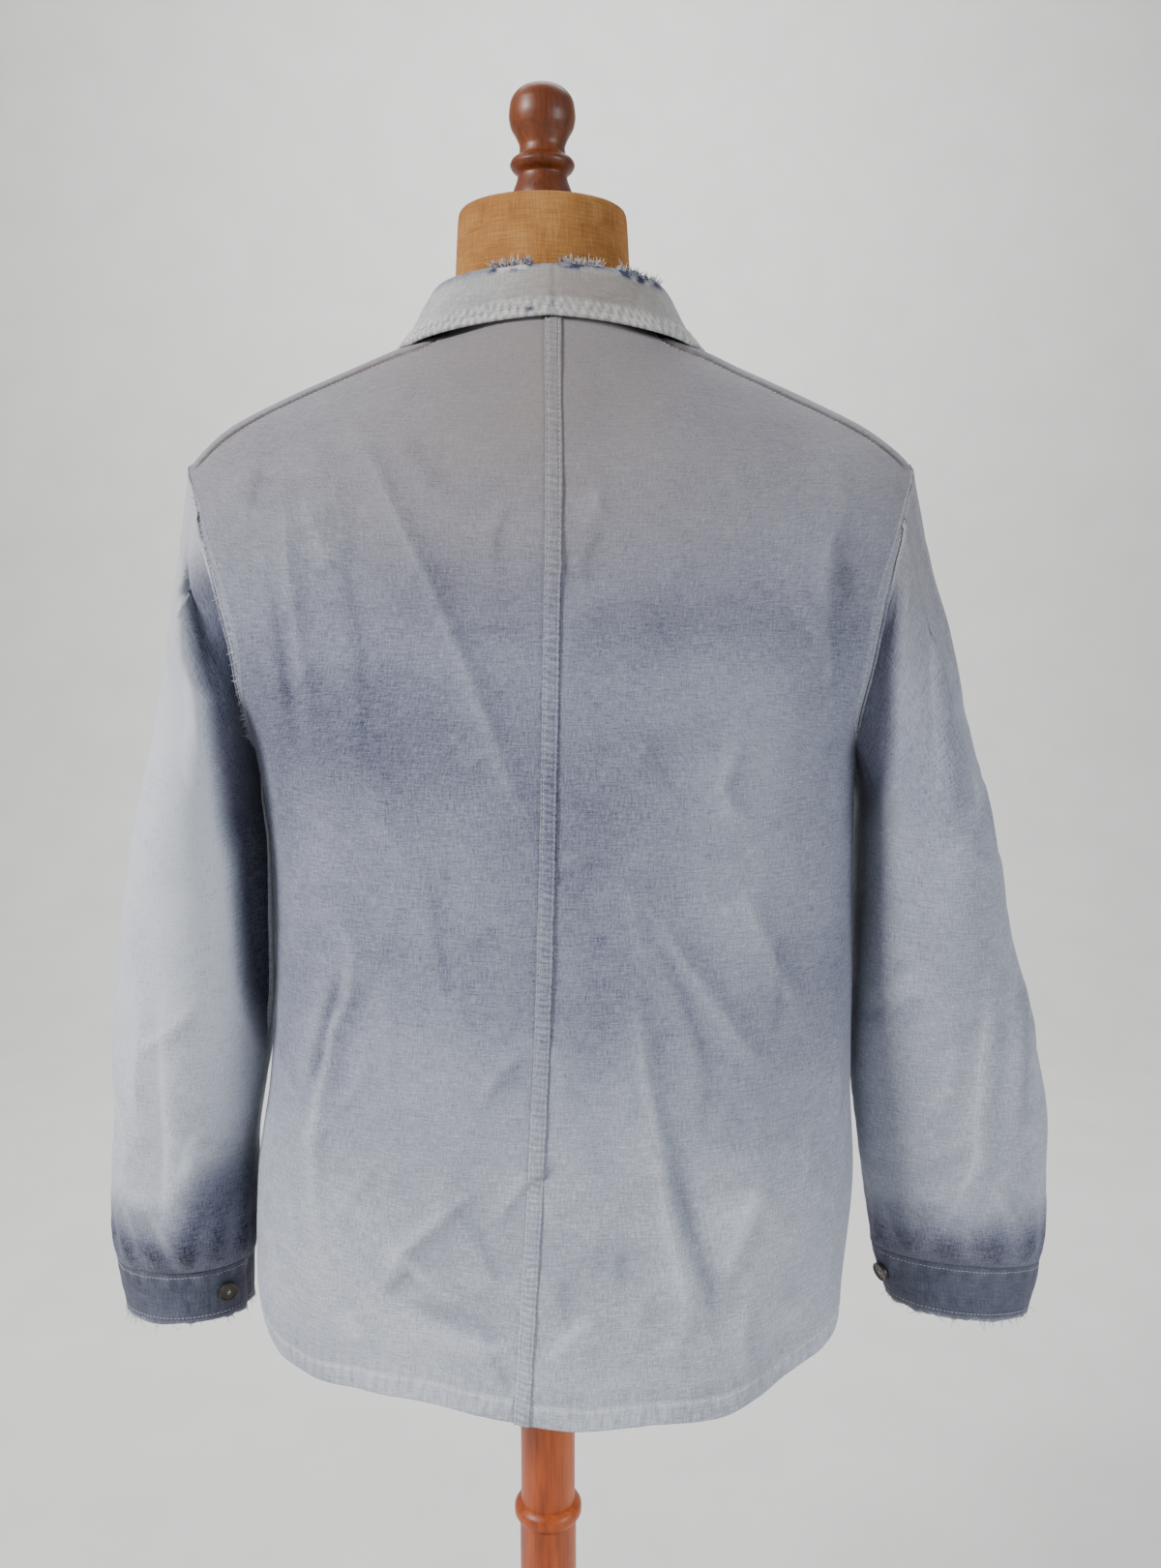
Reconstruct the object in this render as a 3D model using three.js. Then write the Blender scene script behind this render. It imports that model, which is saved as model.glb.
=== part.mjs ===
// A chore jacket worn by a limbless linen dress form on a turned wooden stand.
// Millimetres, +Z up. The jacket's back faces -Y, and +X is the wearer's right.
// Each panel is a thin wall on one smooth body surface, and every sewn piece is its own mesh.
import * as THREE from "three";

// Cloth
const WALL = 1.6;
const SEAM_GAP = 0.3;
const HEM_DEPTH = 17;
const HEM_EXTRA = 1.1;

// Levels of the jacket on its form
const HEM_CENTRE = 715;
const HEM_SIDE = 722;
const HEM_LIFT_TOP = 850;
const ARMPIT = 1166;
const TIP = 1367;
const NECK_SIDE = 1450;
const NECK_BACK = 1460;
const NECK_FRONT = 1395;

// Grid of a body panel
const COLUMNS = 13;
const ROWS_BELOW = 16;
const ROWS_ARMHOLE = 9;
const ROWS_SHOULDER = 6;
const FINE = 80;

// Front closing
const FRONT_X = 6;
const OVERLAP = 20;
const LAP_DROP = WALL + HEM_EXTRA + 0.6;
const LAP_EASE = 44;

// The cloth's outward direction at the shoulder tips
const TIP_NORMAL = { x: 0.67, z: 0.74 };

// A smooth curve through points, flat at its turning points so that it never overshoots.
function smooth(at, value) {
  const last = at.length - 1;
  const chord = (i) => (value[i + 1] - value[i]) / (at[i + 1] - at[i]);
  const slope = value.map((_, i) => {
    if (i === 0) return chord(0);
    if (i === last) return chord(last - 1);
    const before = chord(i - 1);
    const after = chord(i);
    return before * after <= 0 ? 0 : (2 * before * after) / (before + after);
  });
  return (wanted) => {
    const t = Math.min(Math.max(wanted, at[0]), at[last]);
    let i = 0;
    while (i < last - 1 && t > at[i + 1]) i += 1;
    const width = at[i + 1] - at[i];
    const s = (t - at[i]) / width;
    const rise = s * s * (3 - 2 * s);
    const leave = s * (1 - s) * (1 - s) * width;
    const arrive = s * s * (s - 1) * width;
    return value[i] + (value[i + 1] - value[i]) * rise + slope[i] * leave + slope[i + 1] * arrive;
  };
}

// A table with named columns: each column becomes a smooth function of the first one.
function table(names, rows) {
  const [, ...columns] = names.split(" ");
  const at = rows.map((row) => row[0]);
  const made = {};
  columns.forEach((name, k) => {
    made[name] = smooth(at, rows.map((row) => row[k + 1]));
  });
  return made;
}

// The body surface by level: how far it reaches left, right, back and front, where its side line
// lies from back to front, and how square its sections are. Between the armpit and the shoulder
// tip it runs on under the sleeve head, and the armhole is cut out of it.
const BODY_CENTRE = 8;
const body = table("level left right back front side square round", [
  [712, -214, 224, -138, 134, 0, 2.05, 0.49],
  [767, -223, 228, -138, 135, 0, 2.05, 0.49],
  [847, -219, 233, -136, 133, 0, 2.15, 0.47],
  [925, -206, 228, -132, 130, 0, 2.3, 0.44],
  [1001, -199, 227, -129, 128, 0, 2.3, 0.44],
  [1076, -197, 225, -127, 129, 0, 2.3, 0.44],
  [1166, -207, 224, -126, 130, 0, 2.3, 0.44],
  [1191, -214, 231, -126, 129, -1, 2.3, 0.44],
  [1233, -238, 254, -125, 126, -3, 2.25, 0.45],
  [1275, -261, 273, -123, 121, -6, 2.2, 0.46],
  [1316, -271, 279, -119, 113, -9, 2.1, 0.48],
  [1345, -265, 272, -114, 104, -11, 1.95, 0.5],
  [1367, -244, 255, -110, 95, -12, 1.8, 0.53],
  [1389, -221, 228, -105, 85, -12, 1.6, 0.56],
  [1409, -183, 188, -99, 74, -12, 1.55, 0.57],
  [1429, -135, 141, -92, 60, -12, 1.6, 0.56],
  [1441, -104, 113, -87, 49, -11, 1.8, 0.53],
  [1450, -75, 86, -80, 40, -10, 2.0, 0.5],
  [1460, -70, 80, -72, 34, -8, 2.0, 0.5],
]);

// The centre back seam leans: it lies further left at the hem.
const seam = table("level x", [
  [712, -14],
  [765, -11],
  [906, -3],
  [1040, 3],
  [1229, 7.5],
  [1347, 9.5],
  [1460, 8.5],
]);

// The worn hem isn't level: how much higher it hangs along x, fading out up to HEM_LIFT_TOP.
const hem = table("x lift", [
  [-224, 8],
  [-167, 9],
  [-129, 16],
  [-80, 17],
  [-32, 10],
  [30, 1],
  [69, 2],
  [120, -2],
  [150, 3],
  [182, 13],
  [224, 12],
]);

// The armhole's edge, from armpit to shoulder tip.
const armhole = table("level left right", [
  [1166, -207, 224],
  [1191, -212, 227],
  [1233, -218, 235],
  [1275, -227, 238],
  [1316, -239, 245],
  [1345, -240, 249],
  [1367, -244, 255],
]);

// Largest folds of the back, as lines in the back view: points (x, level), width and height.
// A negative height is a trough.
const BACK_FOLDS = [
  { width: 15, height: 4, line: [[-121, 1388], [-96, 1342], [-70, 1289], [-23, 1173], [-5, 1117]] },
  { width: 22, height: -4, line: [[-140, 1379], [-132, 1342], [-121, 1295], [-113, 1241], [-115, 1180]] },
  { width: 14, height: 3, line: [[-164, 1347], [-160, 1289], [-154, 1216], [-151, 1167]] },
  { width: 16, height: -4, line: [[-175, 1295], [-170, 1265], [-167, 1216], [-165, 1180]] },
  { width: 15, height: 4, line: [[197, 1336], [185, 1312], [180, 1289], [185, 1241], [188, 1204]] },
  { width: 14, height: 5, line: [[-140, 1069], [-125, 1046], [-129, 1014], [-152, 940], [-160, 844]] },
  { width: 15, height: -5, line: [[-132, 1036], [-146, 994], [-158, 954], [-166, 900]] },
  { width: 15, height: 4, line: [[-39, 896], [-72, 865], [-92, 844], [-112, 812]] },
  { width: 14, height: -4, line: [[-92, 805], [-66, 794], [-40, 787], [-17, 773]] },
  { width: 14, height: 4, line: [[67, 1083], [89, 1050], [115, 1010], [138, 977], [154, 947]] },
  { width: 16, height: 4, line: [[61, 1027], [67, 974], [78, 920], [84, 872], [97, 815], [103, 744]] },
  { width: 16, height: -4, line: [[81, 913], [99, 858], [113, 815], [122, 765]] },
  { width: 16, height: 4, line: [[129, 1095], [148, 1049], [180, 979]] },
  { width: 14, height: 4, line: [[148, 887], [134, 844], [123, 809]] },
];

// Largest folds of the fronts, which the photograph does not show: similar, and uneven too.
const FRONT_FOLDS = [
  { width: 18, height: 4, line: [[-118, 1352], [-98, 1300], [-84, 1240], [-70, 1160]] },
  { width: 18, height: -4, line: [[-160, 1300], [-150, 1230], [-140, 1150]] },
  { width: 17, height: 4, line: [[130, 1345], [108, 1290], [96, 1215]] },
  { width: 16, height: -4, line: [[160, 1290], [158, 1220], [166, 1150]] },
  { width: 16, height: 4, line: [[-60, 1080], [-86, 1010], [-96, 950]] },
  { width: 16, height: 4, line: [[70, 1100], [92, 1030], [120, 985]] },
  { width: 17, height: -4, line: [[-150, 1060], [-158, 1000], [-150, 960]] },
];

const vec = (x, y, z) => new THREE.Vector3(x, y, z);
const mix = (a, b, t) => a + (b - a) * t;
const ease = (t) => {
  const s = Math.min(Math.max(t, 0), 1);
  return s * s * (3 - 2 * s);
};

// A point of the body surface: across runs from -1 at the left side to 1 at the right side.
function bodyPoint(face, across, level) {
  const reach = across < 0 ? BODY_CENTRE - body.left(level) : body.right(level) - BODY_CENTRE;
  const depth = body[face](level) - body.side(level);
  const fullness = Math.max(1 - Math.abs(across) ** body.square(level), 0) ** body.round(level);
  return vec(BODY_CENTRE + across * reach, body.side(level) + depth * fullness, level);
}

function acrossAt(x, level) {
  const reach = x < BODY_CENTRE ? BODY_CENTRE - body.left(level) : body.right(level) - BODY_CENTRE;
  return (x - BODY_CENTRE) / reach;
}

// Distance in the front view from a point to a line of points.
function distanceTo(line, x, z) {
  let nearest = Infinity;
  for (let k = 0; k + 1 < line.length; k += 1) {
    const [ax, az] = line[k];
    const [bx, bz] = line[k + 1];
    const dx = bx - ax;
    const dz = bz - az;
    const t = Math.min(Math.max(((x - ax) * dx + (z - az) * dz) / (dx * dx + dz * dz), 0), 1);
    nearest = Math.min(nearest, Math.hypot(x - ax - t * dx, z - az - t * dz));
  }
  return nearest;
}

function foldHeight(folds, x, z) {
  const heights = folds.map((f) => f.height * Math.exp(-((distanceTo(f.line, x, z) / f.width) ** 2)));
  return heights.reduce((sum, height) => sum + height, 0);
}

// Points at even distances along a curve given by many points.
function evenly(points, count) {
  const length = [0];
  for (let i = 1; i < points.length; i += 1) {
    length.push(length[i - 1] + points[i].distanceTo(points[i - 1]));
  }
  const made = [];
  let k = 0;
  for (let i = 0; i < count; i += 1) {
    const wanted = (length[points.length - 1] * i) / (count - 1);
    while (k < points.length - 2 && length[k + 1] < wanted) k += 1;
    made.push(points[k].clone().lerp(points[k + 1], (wanted - length[k]) / (length[k + 1] - length[k])));
  }
  return made;
}

// The side levels of a panel's rows: side seam, then armhole, then along the shoulder seam.
function sideLevels() {
  const levels = [HEM_SIDE, HEM_SIDE + HEM_DEPTH, HEM_SIDE + HEM_DEPTH + 1.5];
  const start = levels[2];
  for (let k = 1; k <= ROWS_BELOW; k += 1) levels.push(mix(start, ARMPIT, k / ROWS_BELOW));
  const middle = (ARMPIT + TIP) / 2;
  const half = (TIP - ARMPIT) / 2;
  for (let k = 1; k <= ROWS_ARMHOLE; k += 1) {
    levels.push(middle - half * Math.cos((Math.PI * k) / ROWS_ARMHOLE));
  }
  const ridge = [];
  for (let k = 0; k <= FINE; k += 1) ridge.push(bodyPoint("back", -1, mix(TIP, NECK_SIDE, k / FINE)));
  evenly(ridge, ROWS_SHOULDER + 1).slice(1).forEach((p) => levels.push(p.z));
  return levels;
}
const SIDE_LEVELS = sideLevels();
const ARMPIT_ROW = 2 + ROWS_BELOW;
const TIP_ROW = ARMPIT_ROW + ROWS_ARMHOLE;
const TOP_ROW = TIP_ROW + ROWS_SHOULDER;

function centreLevel(face, row) {
  if (row <= ARMPIT_ROW) {
    return mix(HEM_CENTRE, ARMPIT, (SIDE_LEVELS[row] - HEM_SIDE) / (ARMPIT - HEM_SIDE));
  }
  const top = face === "back" ? NECK_BACK : NECK_FRONT;
  const atTip = face === "back" ? TIP - 4 : TIP - 52;
  if (row <= TIP_ROW) return mix(ARMPIT, atTip, (row - ARMPIT_ROW) / ROWS_ARMHOLE);
  return mix(atTip, top, (row - TIP_ROW) / ROWS_SHOULDER);
}

// Grid of a panel's outer points, before folds. Column 0 is the centre edge.
function panelGrid(face, hand) {
  const side = hand < 0 ? "left" : "right";
  return SIDE_LEVELS.map((edgeLevel, row) => {
    const level = centreLevel(face, row);
    const centre = face === "back" ? seam.x(level) + (hand * SEAM_GAP) / 2 : FRONT_X - hand * OVERLAP;
    const inArmhole = row > ARMPIT_ROW && row < TIP_ROW;
    const edge = inArmhole ? armhole[side](edgeLevel) : body[side](edgeLevel);
    const lift = ease((HEM_LIFT_TOP - level) / (HEM_LIFT_TOP - HEM_CENTRE));
    const points = [];
    for (let k = 0; k <= FINE; k += 1) {
      const t = k / FINE;
      const x = mix(centre, edge, Math.sin((t * Math.PI) / 2));
      const z = mix(level, edgeLevel, t * t) + lift * hem.lift(x);
      const across = acrossAt(x, z);
      points.push(bodyPoint(face, Math.min(Math.max(across, -1), 1), z));
    }
    return evenly(points, COLUMNS);
  });
}

// Unit normals of a grid, by the points beside each one. sign turns them outwards.
function normalsOf(grid, wraps, sign) {
  const count = grid[0].length;
  return grid.map((line, j) =>
    line.map((_, i) => {
      const before = wraps ? line[(i + count - 1) % count] : line[Math.max(i - 1, 0)];
      const after = wraps ? line[(i + 1) % count] : line[Math.min(i + 1, count - 1)];
      const below = grid[Math.max(j - 1, 0)][i];
      const above = grid[Math.min(j + 1, grid.length - 1)][i];
      const across = after.clone().sub(before);
      return across.cross(above.clone().sub(below)).normalize().multiplyScalar(sign);
    }),
  );
}

const moved = (point, direction, distance) => point.clone().addScaledVector(direction, distance);

// A panel with its folds: outer points, inner points and normals.
function bodyPanel(face, hand) {
  const grid = panelGrid(face, hand);
  const sign = face === "back" ? hand : -hand;
  const folds = face === "back" ? BACK_FOLDS : FRONT_FOLDS;
  const flat = normalsOf(grid, false, sign);
  const outer = grid.map((line, j) =>
    line.map((p, i) => {
      const fromSide = ease((COLUMNS - 1 - i) / 3);
      const fromTop = ease((TOP_ROW - j) / 4);
      const height = foldHeight(folds, p.x, p.z) * fromSide * fromTop;
      const lap = face === "front" && hand > 0 ? lapDrop(p.x) : 0;
      return moved(p, flat[j][i], height - lap);
    }),
  );
  const normals = normalsOf(outer, false, sign);
  normals.forEach((line, j) => {
    const last = line[COLUMNS - 1];
    if (j <= ARMPIT_ROW + 1 || j >= TIP_ROW) last.setY(0).normalize();
    if (j === TIP_ROW) last.set(hand * TIP_NORMAL.x, 0, TIP_NORMAL.z);
    if (face === "back") line[0].setX(0).normalize();
  });
  // The side edge keeps half a seam gap from its neighbour.
  outer.forEach((line, j) => {
    if (j > ARMPIT_ROW && j < TIP_ROW) return;
    line[COLUMNS - 1].y += (face === "back" ? -1 : 1) * (SEAM_GAP / 2);
  });
  const inner = outer.map((line, j) =>
    line.map((p, i) => moved(p, normals[j][i], -WALL - (j < 2 ? HEM_EXTRA : 0))),
  );
  return { outer, inner, normals };
}

// The right front dips under the left one at the closing.
function lapDrop(x) {
  const past = x - FRONT_X - OVERLAP - 4;
  return LAP_DROP * (1 - ease(past / LAP_EASE));
}

function geometryOf(points, quads) {
  const positions = points.flatMap((p) => [p.x, p.y, p.z]);
  const index = quads.flatMap(([a, b, c, d]) => (d === undefined ? [a, b, c] : [a, b, c, a, c, d]));
  let volume = 0;
  for (let k = 0; k < index.length; k += 3) {
    const [a, b, c] = [points[index[k]], points[index[k + 1]], points[index[k + 2]]];
    volume += a.dot(b.clone().cross(c)) / 6;
  }
  if (volume < 0) index.reverse();
  const geometry = new THREE.BufferGeometry();
  geometry.setAttribute("position", new THREE.Float32BufferAttribute(positions, 3));
  geometry.setIndex(index);
  return geometry;
}

// A closed wall between a grid of outer points and one of inner points. wraps closes it to a tube.
function wallOf(outer, inner, wraps = false) {
  const rows = outer.length;
  const count = outer[0].length;
  const points = [...outer.flat(), ...inner.flat()];
  const at = (layer, j, i) => layer * rows * count + j * count + (i % count);
  const spans = wraps ? count : count - 1;
  const top = rows - 1;
  const quads = [];
  for (let i = 0; i < spans; i += 1) {
    for (let j = 0; j < top; j += 1) {
      quads.push([at(0, j, i), at(0, j, i + 1), at(0, j + 1, i + 1), at(0, j + 1, i)]);
      quads.push([at(1, j, i), at(1, j + 1, i), at(1, j + 1, i + 1), at(1, j, i + 1)]);
    }
    quads.push([at(1, 0, i), at(1, 0, i + 1), at(0, 0, i + 1), at(0, 0, i)]);
    quads.push([at(0, top, i), at(0, top, i + 1), at(1, top, i + 1), at(1, top, i)]);
  }
  for (let j = 0; !wraps && j < top; j += 1) {
    quads.push([at(0, j, 0), at(0, j + 1, 0), at(1, j + 1, 0), at(1, j, 0)]);
    quads.push([at(0, j + 1, spans), at(0, j, spans), at(1, j, spans), at(1, j + 1, spans)]);
  }
  return geometryOf(points, quads);
}

// Materials
const material = (color, roughness) => new THREE.MeshStandardMaterial({ color, roughness, metalness: 0 });
const COTTON = 0x9aa3b4;
const COTTON_WORN = 0xa9adb6;
const CUFF_BLUE = 0x6f779c;
const LINEN = 0xb98c55;
const WOOD = 0x8f4a1e;
const HORN = 0x2f2c24;

const jacket = new THREE.Group();
function add(name, geometry, color, roughness = 0.9) {
  const mesh = new THREE.Mesh(geometry, material(color, roughness));
  mesh.name = name;
  jacket.add(mesh);
  return mesh;
}

// Body panels
const panels = {};
for (const face of ["back", "front"]) {
  for (const [side, hand] of [["left", -1], ["right", 1]]) {
    const panel = bodyPanel(face, hand);
    panels[`${face}_${side}`] = panel;
    add(`${face}_${side}`, wallOf(panel.outer, panel.inner), COTTON);
  }
}

// The felled seam down the centre back: a strip on the two back panels.
const FELL_WIDTH = 10;
const FELL_THICK = 1.0;
const LAID_GAP = 0.6;
const FELL_TOP_ROW = TOP_ROW - 1;
function centreSeam() {
  const { back_left: left, back_right: right } = panels;
  const outer = [];
  const inner = [];
  for (let j = 0; j <= FELL_TOP_ROW; j += 1) {
    const edge = (panel) => {
      const share = FELL_WIDTH / 2 / panel.outer[j][0].distanceTo(panel.outer[j][1]);
      return panel.outer[j][0].clone().lerp(panel.outer[j][1], share);
    };
    const middle = left.outer[j][0].clone().lerp(right.outer[j][0], 0.5);
    const line = [edge(left), middle, edge(right)];
    inner.push(line.map((p) => moved(p, left.normals[j][0], LAID_GAP)));
    outer.push(line.map((p) => moved(p, left.normals[j][0], LAID_GAP + FELL_THICK)));
  }
  return wallOf(outer, inner);
}
add("centre_back_seam", centreSeam(), COTTON_WORN);

// Sleeves: how far each reaches out and in by level, where its middle lies and how deep it is.
const SLEEVE_TOP = 1120;
const SLEEVE_END = 770;
const SLEEVE_SQUARE = 2.05;
const CAP_ROWS = 7;
const TUBE_ROWS = 11;
const sleeves = {
  left: table("level outer inner middle depth", [
    [727, -331, -234, 12, 36],
    [769, -336, -232, 12, 38],
    [778, -336, -231, 11, 43],
    [806, -335, -229, 10, 52],
    [863, -330, -225, 8, 61],
    [941, -323, -212, 5, 70],
    [1001, -316, -206, 3, 76],
    [1090, -299, -205, 1, 82],
    [1120, -291, -207, 0, 83],
  ]),
  right: table("level outer inner middle depth", [
    [727, 379, 269, 12, 31],
    [769, 386, 256, 12, 27],
    [778, 386, 255, 11, 33],
    [806, 386, 250, 10, 42],
    [863, 384, 241, 8, 49],
    [941, 369, 233, 5, 62],
    [1001, 350, 233, 3, 72],
    [1090, 328, 233, 1, 81],
    [1120, 318, 233, 0, 82],
  ]),
};
// Share of a millimetre that the cuff's edges drop for each millimetre outwards.
const CUFF_SLOPE = { left: 0, right: 0.1 };

const SLEEVE_FOLDS = {
  left: [
    { width: 13, height: -5, line: [[-276, 1009], [-282, 970], [-287, 933], [-292, 896]] },
    { width: 13, height: 4, line: [[-262, 1030], [-266, 941], [-270, 881], [-280, 810]] },
    { width: 13, height: 3, line: [[-237, 1262], [-238, 1209], [-240, 1154]] },
    { width: 11, height: -3, line: [[-290, 1113], [-280, 1075]] },
  ],
  right: [
    { width: 14, height: -4, line: [[277, 1255], [294, 1195], [306, 1154], [315, 1092]] },
    { width: 14, height: 5, line: [[310, 1050], [312, 992], [313, 937], [317, 866], [306, 828]] },
    { width: 15, height: -5, line: [[340, 1030], [344, 960], [348, 880]] },
  ],
};

// A point on a sleeve's section: turn 0 is its outer line, a quarter is its back.
function sleevePoint(side, turn, level) {
  const shape = sleeves[side];
  const angle = turn * 2 * Math.PI;
  const power = (value) => Math.sign(value) * Math.abs(value) ** (2 / SLEEVE_SQUARE);
  const centre = (shape.outer(level) + shape.inner(level)) / 2;
  const half = (shape.outer(level) - shape.inner(level)) / 2;
  const y = shape.middle(level) - shape.depth(level) * power(Math.sin(angle));
  return vec(centre + half * power(Math.cos(angle)), y, level);
}

// The armhole's own points and normals: from the tip down the back edge, then up the front edge.
function armholeRing(side) {
  const ring = [];
  const pick = (face, row) => {
    const panel = panels[`${face}_${side}`];
    return { point: panel.outer[row][COLUMNS - 1], normal: panel.normals[row][COLUMNS - 1] };
  };
  for (let row = TIP_ROW; row > ARMPIT_ROW; row -= 1) ring.push(pick("back", row));
  for (let row = ARMPIT_ROW; row < TIP_ROW; row += 1) ring.push(pick("front", row));
  const own = ring.map(({ point, normal }) => ({ point: point.clone(), normal: normal.clone() }));
  own[0].point.y = body.side(TIP);
  return own;
}

// How the sleeve head leaves the armhole: the angle of its crease at the armpit, how strongly it
// stands out at the top and at the back, and the seam's gap.
const CREASE = (150 * Math.PI) / 180;
const LEAVE_TOP = 16;
const LEAVE_BACK = 14;
const CAP_ARRIVE = 30;
const ARMHOLE_GAP = { top: 1.5, back: 0.5 };

function sleeveWall(side) {
  const ring = armholeRing(side);
  const count = ring.length;
  const firstNormals = [];
  const starts = ring.map(({ point, normal }, i) => {
    const ahead = ring[(i + 1) % count].point;
    const behind = ring[(i + count - 1) % count].point;
    const tangent = ahead.clone().sub(behind).normalize();
    // Across the seam, away from the panel
    const away = tangent.clone().cross(normal).normalize();
    if (side === "right") away.negate();
    const low = (1 - Math.cos((2 * Math.PI * i) / count)) / 2;
    const toBack = Math.min(2 * low, 1);
    const bend = CREASE * low ** 1.5;
    const gap = mix(ARMHOLE_GAP.top, ARMHOLE_GAP.back, toBack);
    const between = (first, second, angle) =>
      first.clone().multiplyScalar(Math.cos(angle)).addScaledVector(second, Math.sin(angle));
    const turnBy = (angle) => between(away, normal, angle);
    firstNormals.push(between(normal, away, -bend));
    const leave = turnBy(bend).multiplyScalar(mix(LEAVE_TOP, LEAVE_BACK, toBack));
    return { point: moved(point, turnBy(bend / 2), gap), leave };
  });
  const grid = [];
  for (let k = 0; k < CAP_ROWS; k += 1) {
    const s = k / CAP_ROWS;
    grid.push(
      starts.map(({ point, leave }, i) => {
        const end = sleevePoint(side, i / count, SLEEVE_TOP);
        const arrive = sleevePoint(side, i / count, SLEEVE_TOP - CAP_ARRIVE).sub(end);
        arrive.multiplyScalar((0.9 * point.distanceTo(end)) / CAP_ARRIVE);
        const p = point.clone().multiplyScalar(2 * s ** 3 - 3 * s ** 2 + 1);
        p.addScaledVector(leave, s ** 3 - 2 * s ** 2 + s);
        p.addScaledVector(end, 3 * s ** 2 - 2 * s ** 3);
        return p.addScaledVector(arrive, s ** 3 - s ** 2);
      }),
    );
  }
  for (let k = 0; k <= TUBE_ROWS; k += 1) {
    const level = mix(SLEEVE_TOP, SLEEVE_END, k / TUBE_ROWS);
    grid.push(starts.map((_, i) => cuffTilt(side, sleevePoint(side, i / count, level))));
  }
  const sign = side === "left" ? 1 : -1;
  const flat = normalsOf(grid, true, sign);
  const outer = grid.map((line, j) =>
    line.map((p, i) => {
      const onBack = i > 0 && i < count / 2;
      const height = onBack ? foldHeight(SLEEVE_FOLDS[side], p.x, p.z) : 0;
      return moved(p, flat[j][i], height * ease(j / 3) * ease((grid.length - 1 - j) / 2));
    }),
  );
  const normals = normalsOf(outer, true, sign);
  normals[0] = firstNormals;
  normals[normals.length - 1].forEach((normal) => normal.setZ(0).normalize());
  const inner = outer.map((line, j) => line.map((p, i) => moved(p, normals[j][i], -WALL)));
  return { outer, inner, normals };
}

// Near the cuff the level of a point drops outwards by the cuff's slope.
function cuffTilt(side, point) {
  const near = ease((900 - point.z) / 130);
  const middle = (sleeves[side].outer(point.z) + sleeves[side].inner(point.z)) / 2;
  const drop = CUFF_SLOPE[side] * Math.abs(point.x) - CUFF_SLOPE[side] * Math.abs(middle);
  return vec(point.x, point.y, point.z - near * drop);
}

const sleeveWalls = {};
for (const side of ["left", "right"]) {
  sleeveWalls[side] = sleeveWall(side);
  add(`sleeve_${side}`, wallOf(sleeveWalls[side].outer, sleeveWalls[side].inner, true), COTTON);
}

// Cuffs: a band round the wrist. It starts at the buttoned edge, near the body, and runs round the
// back, the outer side and the front, and its end laps under its start.
const CUFF_TOP = SLEEVE_END - 0.4;
const CUFF_END = 727;
const CUFF_THICK = 3;
const CUFF_PROUD = 1.2;
const CUFF_STEPS = 30;
const CUFF_LAP = 0.07;
const CUFF_LAP_TURN = { left: 0.45, right: 0.53 };
const CUFF_LEVELS = [CUFF_END, (CUFF_END + CUFF_TOP) / 2, CUFF_TOP];
function cuffWall(side) {
  const shape = sleeves[side];
  const rings = CUFF_LEVELS.map((level) => {
    const middle = vec((shape.outer(level) + shape.inner(level)) / 2, shape.middle(level), level);
    const line = [];
    for (let k = 0; k <= CUFF_STEPS; k += 1) {
      const along = (k / CUFF_STEPS) * (1 + CUFF_LAP);
      const under = ease((along - 0.92) / 0.09) * (CUFF_THICK + 0.5);
      const point = sleevePoint(side, CUFF_LAP_TURN[side] - along, level);
      line.push({ point, under, out: point.clone().sub(middle).normalize() });
    }
    return line;
  });
  const layer = (depth) =>
    rings.map((ring) =>
      ring.map(({ point, out, under }) => cuffTilt(side, moved(point, out, CUFF_PROUD - under - depth))),
    );
  return { outer: layer(0), inner: layer(CUFF_THICK) };
}
const cuffs = {};
for (const side of ["left", "right"]) {
  cuffs[side] = cuffWall(side);
  add(`cuff_${side}`, wallOf(cuffs[side].outer, cuffs[side].inner), CUFF_BLUE);
}

// Sleeve plackets: a strip on each sleeve above the cuff's opening, one grid column wide.
const PLACKET_ROWS = 3;
const PLACKET_COLUMN = 7;
const PLACKET_THICK = 1.2;
for (const side of ["left", "right"]) {
  const { outer, normals } = sleeveWalls[side];
  const lift = (distance) =>
    outer.slice(-PLACKET_ROWS).map((line, k) => {
      const row = outer.length - PLACKET_ROWS + k;
      return [0, 1].map((i) => moved(line[PLACKET_COLUMN + i], normals[row][PLACKET_COLUMN + i], distance));
    });
  add(`sleeve_placket_${side}`, wallOf(lift(LAID_GAP + PLACKET_THICK), lift(LAID_GAP)), COTTON_WORN);
}

// Hip pockets: patches on the fronts, made from the panels' own grid points.
const POCKET = { firstColumn: 3, lastColumn: 9, firstRow: 4, lastRow: 10, thick: 1.4 };
for (const side of ["left", "right"]) {
  const { outer, normals } = panels[`front_${side}`];
  const lift = (distance) =>
    outer.slice(POCKET.firstRow, POCKET.lastRow + 1).map((line, k) => {
      const normal = normals[POCKET.firstRow + k];
      return line
        .slice(POCKET.firstColumn, POCKET.lastColumn + 1)
        .map((p, i) => moved(p, normal[POCKET.firstColumn + i], distance));
    });
  add(`pocket_${side}`, wallOf(lift(LAID_GAP + POCKET.thick), lift(LAID_GAP)), COTTON);
}

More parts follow.
